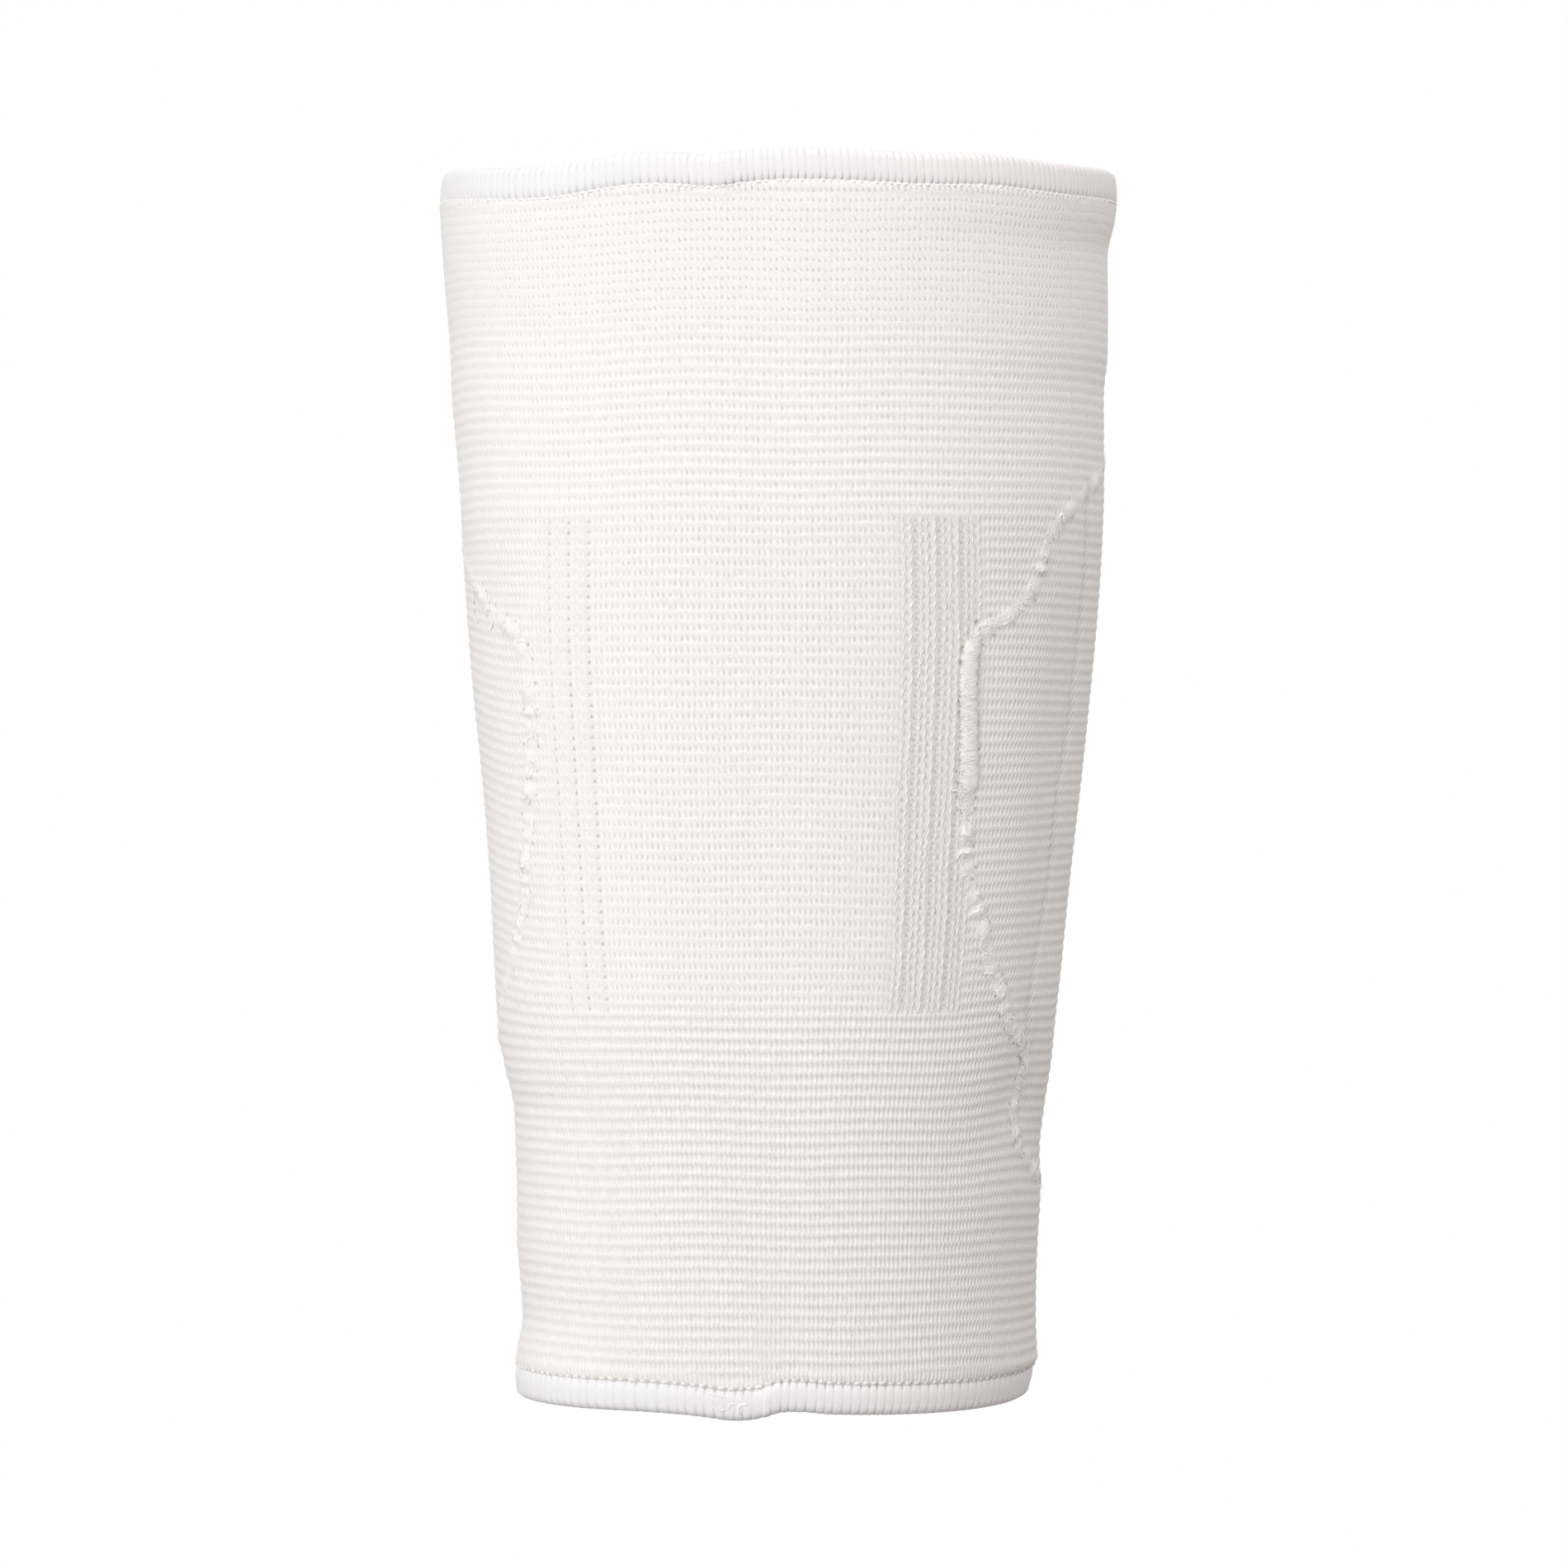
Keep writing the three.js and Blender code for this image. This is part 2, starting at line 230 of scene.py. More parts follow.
# Hems. The bottom one is rounder: its section bows in above and below the middle
HEMS = table(
    "name node way join_turn pitch seed bow",
    ("wrapped_top_hem", "top_hem", 1, -11.4, 1.65, 11, 0.0),
    ("wrapped_bottom_hem", "bottom_hem", -1, -4.5, 2.1, 23, 0.30),
)
BOW_MIDDLE = 2.6
COLUMNS_PER_STITCH = 12
GROOVE_DEPTH = 0.20 * MM
GROOVE_WIDTH = 0.13
# How dark the groove between stitches is painted: painted shade
GROOVE_SHADE = 0.38
STITCH_CROWN = 0.06 * MM
STITCH_ROUNDING = 0.24 * MM
STITCH_LEAN = -0.35 * MM
# Past the join the wrap starts again, a little prouder, over the end of the first round
JOIN_CALM = 1.5 * MM
JOIN_STEP = 0.5 * MM
JOIN_REACH = 5 * MM
JOIN_PROUD = 0.4 * MM
# A hem's section from its lip on the outside, over the rim and back. On a face, place is how far under
# the rim a point lies. On the crest it is an angle over the wall's edge. Out is the distance from the
# wall, and groove is how deep the stitches part there and how much painted shade lies in that groove
HEM_LIP = 5.3
HEM_SECTION = table(
    "face place out groove",
    ("outer", 5.0, 0.05, 0.0),
    ("outer", 5.4, 0.45, 0.9),
    ("outer", 5.3, 0.92, 1.0),
    ("outer", 4.9, 1.22, 1.0),
    ("outer", 4.3, 1.36, 0.70),
    ("outer", 3.5, 1.40, 0.28),
    ("outer", 2.6, 1.40, 0.14),
    ("outer", 1.8, 1.36, 0.22),
    ("crest", 2, 1.30, 0.50),
    ("crest", 24, 1.30, 0.75),
    ("crest", 46, 1.30, 0.80),
    ("crest", 68, 1.30, 0.60),
    ("crest", 90, 1.30, 0.45),
    ("crest", 118, 1.30, 0.55),
    ("crest", 148, 1.30, 0.65),
    ("crest", 178, 1.30, 0.60),
    ("inner", 3.2, 1.30, 0.60),
    ("inner", 4.7, 1.10, 0.80),
    ("inner", 5.1, 0.50, 0.80),
    ("inner", 4.8, 0.05, 0.0),
    ("crest", 170, 0.20, 0.0),
    ("crest", 90, 0.20, 0.0),
    ("crest", 10, 0.20, 0.0),
)
# The looper thread along the lip, whose loops fill the step under it
CHAIN_STEPS = 10
CHAIN_BELOW = 5.70
LIP_FILL = 1.1 * MM
LIP_FILL_PLACE = 6.0 * MM
LIP_FILL_WIDTH = 0.8 * MM

# The fold along the foam's right edge, as turn and height
CREASE = [
    (64.4, -58), (64, -48), (66.3, -37), (69.5, -24), (70, -13), (70, -1), (72, 12), (72.6, 30), (72.5, 46),
    (71.5, 62),
]
CREASE_DEPTH = 0.75 * MM
CREASE_WIDTH = 1.3 * MM
# How far the fold fades past its ends, and short of its upper one
CREASE_FADES = (6 * MM, 4 * MM)

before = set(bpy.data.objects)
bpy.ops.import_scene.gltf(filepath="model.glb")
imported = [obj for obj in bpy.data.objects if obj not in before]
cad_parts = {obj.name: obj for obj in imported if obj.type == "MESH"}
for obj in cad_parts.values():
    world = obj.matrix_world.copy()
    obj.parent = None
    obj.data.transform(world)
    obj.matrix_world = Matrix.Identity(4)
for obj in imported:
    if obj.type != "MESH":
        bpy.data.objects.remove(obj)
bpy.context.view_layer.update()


def smoothstep(value, start, end):
    share = np.clip((np.asarray(value, float) - start) / (end - start), 0, 1)
    return share * share * (3 - 2 * share)


def window(value, low, high, fade):
    """1 between low and high and 0 outside, with steps that fade over that much on both sides."""
    return smoothstep(value, low - fade, low + fade) * (1 - smoothstep(value, high - fade, high + fade))


def bell(value, width):
    return np.exp(-((np.asarray(value, float) / width) ** 2))


def wrap_turn(turn):
    return (np.asarray(turn, float) + 180) % 360 - 180


def unit(vectors):
    return vectors / np.linalg.norm(vectors, axis=-1, keepdims=True)


def smooth_weights(share):
    """How much each of four even neighbours counts, at a share of the way between the middle two."""
    return (
        -0.5 * share + share**2 - 0.5 * share**3,
        1 - 2.5 * share**2 + 1.5 * share**3,
        0.5 * share + 2 * share**2 - 1.5 * share**3,
        -0.5 * share**2 + 0.5 * share**3,
    )


def read_grid(grid, row, column, ring=False):
    """A grid's value between its cells. In a ring the last column comes before the first."""
    row, column = np.broadcast_arrays(row, column)
    lower = np.clip(np.floor(row).astype(int), 0, grid.shape[0] - 2)
    first = np.floor(column).astype(int)
    if not ring:
        first = np.clip(first, 0, grid.shape[1] - 2)
    up, over = row - lower, column - first
    left, right = first % grid.shape[1], (first + 1) % grid.shape[1]
    low = grid[lower, left] * (1 - over) + grid[lower, right] * over
    high = grid[lower + 1, left] * (1 - over) + grid[lower + 1, right] * over
    return low * (1 - up) + high * up


class Wall:
    """The worn sleeve's smooth wall, read from the frame's faceted sleeve and rounded between its corners."""

    def __init__(self, node):
        corners = np.array([vertex.co for vertex in node.data.vertices], float)
        corners = np.unique(np.round(corners, 6), axis=0)
        turns = np.degrees(np.arctan2(corners[:, 0], -corners[:, 1])) % 360
        radii = np.hypot(corners[:, 0], corners[:, 1])
        steps = np.diff(np.sort(turns))
        self.count = round(360 / np.median(steps[steps > 1]))
        column = np.round(turns / 360 * self.count).astype(int) % self.count
        heights, outer, inner = [], [], []
        for index in range(self.count):
            own = column == index
            order = np.lexsort((radii[own], np.round(corners[own, 2], 5)))
            heights.append(corners[own, 2][order][0::2])
            inner.append(radii[own][order][0::2])
            outer.append(radii[own][order][1::2])
        self.layers = {"height": np.array(heights), "outer": np.array(outer), "inner": np.array(inner)}
        self.levels = self.layers["height"][self.count // 2]
        self.slopes = {name: self._gentle_slopes(layer) for name, layer in self.layers.items()}
        self.low, self.high = self.levels[0], self.levels[-1]

    def _gentle_slopes(self, layer):
        """Slopes up each column that never make the curve overshoot a step."""
        pitch = np.diff(layer, axis=1) / np.diff(self.levels)
        below, above = pitch[:, :-1], pitch[:, 1:]
        agree = below * above > 0
        slopes = np.zeros_like(layer)
        slopes[:, 1:-1] = np.where(agree, 2 * below * above / np.where(agree, below + above, 1), 0)
        slopes[:, 0], slopes[:, -1] = pitch[:, 0], pitch[:, -1]
        return slopes

    def _read(self, name, turn, height):
        height = np.clip(height, self.low, self.high)
        level = np.clip(np.searchsorted(self.levels, height, side="right") - 1, 0, len(self.levels) - 2)
        width = self.levels[level + 1] - self.levels[level]
        t = (height - self.levels[level]) / width
        position = np.asarray(turn, float) % 360 / 360 * self.count
        first = np.floor(position).astype(int)
        layer, slopes = self.layers[name], self.slopes[name]
        total = 0
        for offset, weight in enumerate(smooth_weights(position - first)):
            column = (first + offset - 1) % self.count
            value = (1 - 3 * t**2 + 2 * t**3) * layer[column, level]
            value = value + (3 * t**2 - 2 * t**3) * layer[column, level + 1]
            value = value + (t - 2 * t**2 + t**3) * slopes[column, level] * width
            value = value + (t**3 - t**2) * slopes[column, level + 1] * width
            total = total + weight * value
        return total

    def point(self, turn, height, face="outer"):
        turn, height = np.broadcast_arrays(np.asarray(turn, float), np.asarray(height, float))
        radius = self._read(face, turn, height)
        beyond = height - np.clip(height, self.low, self.high)
        angle = np.radians(turn)
        z = self._read("height", turn, height) + beyond
        return np.stack([radius * np.sin(angle), -radius * np.cos(angle), z], axis=-1)

    def normal(self, turn, height, face="outer"):
        turn, height = np.broadcast_arrays(np.asarray(turn, float), np.asarray(height, float))
        side = self.point(turn + 0.3, height, face) - self.point(turn - 0.3, height, face)
        low = np.clip(height - 0.3 * MM, self.low, self.high - 0.6 * MM)
        up = self.point(turn, low + 0.6 * MM, face) - self.point(turn, low, face)
        return unit(np.cross(side, up))

    def lifted(self, turn, height, lift):
        """Points that stand out from the outside by lift, along its own normal."""
        return self.point(turn, height) + self.normal(turn, height) * np.asarray(lift, float)[..., None]


wall = Wall(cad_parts["knit_sleeve"])


def ripple(turn, height, seed, waves=9, reach=6, pace=90):
    """Smooth noise of about -1 to 1 that closes round the leg."""
    dice = np.random.default_rng(seed)
    total = np.zeros(np.broadcast(turn, height).shape)
    for _ in range(waves):
        turns = dice.integers(1, reach + 1) * dice.choice([-1, 1])
        lean = dice.uniform(-pace, pace)
        phase = dice.uniform(0, 2 * np.pi)
        total = total + np.sin(np.radians(turn) * turns + np.asarray(height) * lean + phase)
    return total / np.sqrt(waves)


def rib_column(name, height):
    heights = [row["height"] * MM for row in RIB_TABLE]
    return np.interp(height, heights, [row[name] for row in RIB_TABLE])


# Ribs counted up the sleeve, in steps far finer than a rib
fine_heights = np.linspace(RIB_TABLE[0]["height"] * MM, RIB_TABLE[-1]["height"] * MM, 5361)
fine_steps = np.diff(fine_heights) / (rib_column("pitch", fine_heights[1:]) * MM)
fine_ribs = np.concatenate([[0], np.cumsum(fine_steps)])


def make_row_shift():
    """How much higher the wall lies than rows that ignore the short bumps of the rims."""
    turns = np.arange(0, 360, SHIFT_STEP)
    lift = wall.point(turns[None, :], wall.levels[:, None])[..., 2] - wall.levels[:, None]
    waves = np.fft.rfft(lift, axis=1)
    order = np.arange(waves.shape[1])
    slow = np.fft.irfft(waves * np.exp(-((order / ROW_WAVES) ** 2)), n=len(turns), axis=1)
    return lift - slow


row_shift = make_row_shift()


def row_rise(turn, height):
    """The pocket's pull lifts the rows on its own side of the seams."""
    rise = 0
    for pull in ROW_PULLS:
        way = 1 if pull["end"] > 0 else -1
        out = smoothstep(turn * way, pull["start"] * way, pull["end"] * way)
        out = out * (1 - smoothstep(turn * way, *PULL_ENDS))
        rise = rise + pull["rise"] * MM * out * window(height, pull["low"] * MM, pull["high"] * MM, PULL_EDGE)
    return rise


def rib_index(turn, height):
    """Ribs counted up the sleeve to a place, with whole numbers on the crests."""
    level = np.clip(np.searchsorted(wall.levels, height) - 1, 0, len(wall.levels) - 2)
    part = np.clip((height - wall.levels[level]) / (wall.levels[level + 1] - wall.levels[level]), 0, 1)
    shift = read_grid(row_shift, level + part, np.asarray(turn, float) % 360 / SHIFT_STEP, ring=True)
    steady = np.interp(height + shift - row_rise(wrap_turn(turn), height), fine_heights, fine_ribs)
    return steady + ROW_WAVER * ripple(turn, height, seed=SEED, reach=9, pace=60)


def make_wale_table():
    """Loops round the sleeve from the middle of its back, by height and turn."""
    turns = np.linspace(-180, 180, 721)
    heights = np.linspace(wall.low, wall.high, 60)
    points = wall.point(turns[None, :], heights[:, None])
    lengths = np.linalg.norm(np.diff(points, axis=1), axis=-1)
    arc = np.concatenate([np.zeros((len(heights), 1)), np.cumsum(lengths, axis=1)], axis=1)
    middle = np.array([np.interp(WALE_ZERO_TURN, turns, row) for row in arc])
    return (arc - middle[:, None]) / arc[:, -1:] * WALES


wale_table = make_wale_table()


def wale_index(turn, height):
    """Loops counted round the sleeve to a place, for turns from -180 to 180."""
    column = (np.asarray(turn, float) + 180) / 360 * (wale_table.shape[1] - 1)
    share = (np.clip(height, wall.low, wall.high) - wall.low) / (wall.high - wall.low)
    return read_grid(wale_table, share * (wale_table.shape[0] - 1), column)


class Seam:
    """The pocket's seam as a closed line on the wall, measured in metres along it."""

    def __init__(self, route):
        turns, heights, bulks = np.array(route, float).T
        turns = np.degrees(np.unwrap(np.radians(turns)))
        full_circle = 360.0 * round((turns[-1] - turns[0]) / 360)
        turn = self._curve(turns, closes=full_circle)
        height = self._curve(heights * MM)
        bulk = self._curve(bulks)
        points = wall.point(turn, height)
        steps = np.linalg.norm(np.roll(points, -1, axis=0) - points, axis=1)
        along = np.concatenate([[0], np.cumsum(steps)])
        self.length = along[-1]
        count = int(self.length / SEAM_STEP)
        self.along = np.linspace(0, self.length, count, endpoint=False)
        turn = np.interp(self.along, along, np.append(turn, turn[0] + full_circle))
        self.height = np.interp(self.along, along, np.append(height, height[0]))
        self.bulk = np.clip(np.interp(self.along, along, np.append(bulk, bulk[0])), 0, 1)
        self.points = wall.point(turn, self.height)
        self.normals = wall.normal(turn, self.height)
        self.ahead = unit(np.roll(self.points, -1, axis=0) - np.roll(self.points, 1, axis=0))
        self.across = np.cross(self.normals, self.ahead)
        self.tree = KDTree(count)
        for index, point in enumerate(self.points):
            self.tree.insert(point, index)
        self.tree.balance()

    @staticmethod
    def _curve(values, closes=0, steps=40):
        """A smooth closed curve through the values. Each round adds closes to it."""
        count = len(values)
        place = np.linspace(0, count, count * steps, endpoint=False)
        first = np.floor(place).astype(int)
        total = 0
        for offset, weight in enumerate(smooth_weights(place - first)):
            index = first + offset - 1
            total = total + weight * (values[index % count] + closes * np.floor_divide(index, count))
        return total

    def at(self, along, side, lift):
        """Points beside and above the seam, all in metres, and the wall's normals there."""
        position = np.asarray(along, float) / self.length * len(self.along)
        first = np.floor(position).astype(int)
        share = (position - first)[..., None]
        low, high = first % len(self.along), (first + 1) % len(self.along)
        lines = (self.points, self.across, self.normals)
        point, across, normal = (line[low] * (1 - share) + line[high] * share for line in lines)
        return point + across * np.asarray(side)[..., None] + normal * np.asarray(lift)[..., None], normal

    def bulk_at(self, along):
        return np.interp(np.asarray(along) % self.length, self.along, self.bulk)

    def nearest(self, points):
        """How far along the seam, and how far from it, each point lies. Far points give SEAM_REACH."""
        flat = points.reshape(-1, 3)
        low, high = self.points.min(axis=0) - SEAM_REACH, self.points.max(axis=0) + SEAM_REACH
        along = np.zeros(len(flat))
        side = np.full(len(flat), SEAM_REACH)
        for index in np.flatnonzero(((flat > low) & (flat < high)).all(axis=1)):
            _, found, distance = self.tree.find(flat[index])
            along[index] = self.along[found]
            if distance < SEAM_REACH:
                offset = flat[index] - self.points[found]
                along[index] += offset @ self.ahead[found]
                side[index] = abs(offset @ self.across[found])
        return along.reshape(points.shape[:-1]), side.reshape(points.shape[:-1])


seam = Seam(SEAM_ROUTE)


def seam_lift(along, side):
    """How the knit swells in lumps along the thin seam and sinks under its bunched yarn."""
    bunched = smoothstep(seam.bulk_at(along), *FURROW_BULK)
    wander = np.sin(2 * np.pi * along / (2.6 * SEAM_SWELL_PITCH)) * 1.4
    swell = 0.5 + 0.5 * np.sin(2 * np.pi * along / SEAM_SWELL_PITCH + wander)
    swell = swell * (0.6 + 0.4 * np.sin(2 * np.pi * along / (3.7 * SEAM_SWELL_PITCH)))
    loose = 0.2 + 0.8 * smoothstep(seam.bulk_at(along), *LOOSE_BULK)
    lift = SEAM_SWELL * swell * loose * (1 - bunched) - SEAM_FURROW * bunched
    return lift * bell(side, SEAM_FURROW_WIDTH)


def finish_mesh(name, mesh, material):
    mesh.shade_smooth()
    mesh.materials.append(material)
    made = bpy.data.objects.new(name, mesh)
    bpy.context.scene.collection.objects.link(made)
    return made


def as_piece(made, node=None):
    """A visible piece of the part: its body and the frame's node that it stands for."""
    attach(made, "root")
    if node:
        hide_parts(node)
    return made


def grid_object(name, points, material, uvs, attributes=None):
    """A closed mesh of quads through points[row, column]. uvs hold one row and column more than points."""
    rows, columns = points.shape[:2]
    row, column = np.meshgrid(np.arange(rows), np.arange(columns), indexing="ij")
    steps = ((0, 0), (0, 1), (1, 1), (1, 0))
    corners = [(row + up) % rows * columns + (column + side) % columns for up, side in steps]
    faces = np.stack(corners, axis=-1).reshape(-1, 4)
    mesh = bpy.data.meshes.new(name)
    mesh.vertices.add(rows * columns)
    mesh.vertices.foreach_set("co", points.reshape(-1).astype(np.float32))
    mesh.loops.add(faces.size)
    mesh.loops.foreach_set("vertex_index", faces.reshape(-1).astype(np.int32))
    mesh.polygons.add(len(faces))
    mesh.polygons.foreach_set("loop_start", np.arange(0, faces.size, 4, dtype=np.int32))
    mesh.update(calc_edges=True)
    mesh.validate()
    for layer, values in uvs.items():
        at_corners = np.stack([values[row + up, column + side] for up, side in steps], axis=2)
        mesh.uv_layers.new(name=layer).data.foreach_set("uv", at_corners.reshape(-1).astype(np.float32))
    for layer, values in (attributes or {}).items():
        made = mesh.attributes.new(layer, "FLOAT", "POINT")
        made.data.foreach_set("value", values.reshape(-1).astype(np.float32))
    return finish_mesh(name, mesh, material)


def strands_object(name, paths, radii, outward, material, sides=6, flat=1.0):
    """Tubes along paths[strand, step, 3], closed at both ends. outward gives each point's surface normal."""
    paths, radii, outward = np.array(paths), np.array(radii), np.array(outward)
    count, steps = paths.shape[:2]
    ahead = np.gradient(paths, axis=1)
    ahead /= np.linalg.norm(ahead, axis=-1, keepdims=True) + 1e-12
    across = np.cross(ahead, outward)
    across /= np.linalg.norm(across, axis=-1, keepdims=True) + 1e-12
    up = np.cross(across, ahead)
    angles = np.linspace(0, 2 * np.pi, sides, endpoint=False)
    ring = across[:, :, None] * np.cos(angles)[:, None] + up[:, :, None] * (flat * np.sin(angles))[:, None]
    points = paths[:, :, None] + ring * radii[..., None, None]
    step, side = np.meshgrid(np.arange(steps - 1) * sides, np.arange(sides), indexing="ij")
    following = (side + 1) % sides
    quads = [step + side, step + sides + side, step + sides + following, step + following]
    starts = np.arange(count) * steps * sides
    faces = (np.stack(quads, axis=-1).reshape(1, -1, 4) + starts[:, None, None]).reshape(-1, 4).tolist()
    for start in starts.tolist():
        end = start + (steps - 1) * sides
        faces.append([start + index for index in range(sides)])
        faces.append([end + index for index in reversed(range(sides))])
    mesh = bpy.data.meshes.new(name)
    mesh.from_pydata(points.reshape(-1, 3).tolist(), [], faces)
    mesh.update()
    return finish_mesh(name, mesh, material)


def add_node(tree, kind, inputs, **settings):
    """A node with its settings made. Its inputs are given numbers or are linked to fields and sockets."""
    node = tree.nodes.new(kind)
    for name, value in settings.items():
        setattr(node, name, value)
    for name, value in inputs.items():
        value = value.socket if isinstance(value, Field) else value
        if isinstance(value, bpy.types.NodeSocket):
            tree.links.new(value, node.inputs[name])
        else:
            node.inputs[name].default_value = value
    return node


def math_method(operation):
    def method(field, *others):
        inputs = dict(enumerate((field, *others)))
        node = add_node(field.tree, "ShaderNodeMath", inputs, operation=operation)
        return Field(field.tree, node.outputs[0])

    return method


class Field:
    """A number that varies over a surface, written as arithmetic and built from Math nodes."""

    __add__ = __radd__ = math_method("ADD")
    __sub__ = math_method("SUBTRACT")
    __mul__ = __rmul__ = math_method("MULTIPLY")
    __truediv__ = math_method("DIVIDE")
    fract = math_method("FRACT")
    floor = math_method("FLOOR")
    abs = math_method("ABSOLUTE")
    sine = math_method("SINE")
    least = math_method("MINIMUM")
    most = math_method("MAXIMUM")

    def __init__(self, tree, socket):
        self.tree = tree
        self.socket = socket

    def __rsub__(self, other):
        return self * -1.0 + other

    def ramp(self, start, end):
        """0 before start, 1 after end, smooth between."""
        low, high = (0.0, 1.0) if start < end else (1.0, 0.0)
        limits = {"From Min": min(start, end), "From Max": max(start, end), "To Min": low, "To Max": high}
        inputs = {**limits, "Value": self}
        node = add_node(self.tree, "ShaderNodeMapRange", inputs, interpolation_type="SMOOTHSTEP")
        return Field(self.tree, node.outputs["Result"])


class Surface:
    """A material under construction: it hands out fields and takes the finished colour and bump."""

    def __init__(self, name, roughness, sheen):
        self.material = bpy.data.materials.new(name)
        self.material.use_nodes = True
        self.tree = self.material.node_tree
        self.shader = self.tree.nodes["Principled BSDF"]
        self.shader.inputs["Roughness"].default_value = roughness
        self.shader.inputs["Specular IOR Level"].default_value = 0.25
        self.shader.inputs["Sheen Weight"].default_value = sheen
        self.shader.inputs["Sheen Roughness"].default_value = 0.5

    def field(self, output, kind, inputs, **settings):
        return Field(self.tree, add_node(self.tree, kind, inputs, **settings).outputs[output])

    def uv(self, layer):
        node = self.tree.nodes.new("ShaderNodeUVMap")
        node.uv_map = layer
        split = add_node(self.tree, "ShaderNodeSeparateXYZ", {0: node.outputs[0]})
        return Field(self.tree, split.outputs[0]), Field(self.tree, split.outputs[1])

    def attributes(self, *layers):
        return [self.field("Fac", "ShaderNodeAttribute", {}, attribute_name=layer) for layer in layers]

    def place(self):
        return self.tree.nodes.new("ShaderNodeTexCoord").outputs["Object"]

    def vector(self, *parts):
        return add_node(self.tree, "ShaderNodeCombineXYZ", dict(enumerate(parts))).outputs[0]

    def noise(self, vector, scale=1.0, detail=2.0, roughness=0.5):
        looks = {"Scale": scale, "Detail": detail, "Roughness": roughness, "Vector": vector}
        return self.field("Fac", "ShaderNodeTexNoise", looks)

    def dice(self, *parts):
        """A steady random number from 0 to 1 for each whole-numbered cell."""
        vector = {"Vector": self.vector(*parts)}
        return self.field("Value", "ShaderNodeTexWhiteNoise", vector, noise_dimensions="2D")

    def finish(self, light, dark, shade, height, distance):
        """The colour runs from light to dark as shade runs from 0 to 1, and the surface rises by distance."""
        colours = {"A": (*light, 1), "B": (*dark, 1), "Factor": shade.most(0.0).least(1.0)}
        mixed = add_node(self.tree, "ShaderNodeMix", colours, data_type="RGBA")
        self.tree.links.new(mixed.outputs["Result"], self.shader.inputs["Base Color"])
        rises = {"Strength": 1.0, "Distance": distance, "Height": height}
        bump = add_node(self.tree, "ShaderNodeBump", rises)
        self.tree.links.new(bump.outputs["Normal"], self.shader.inputs["Normal"])
        return self.material


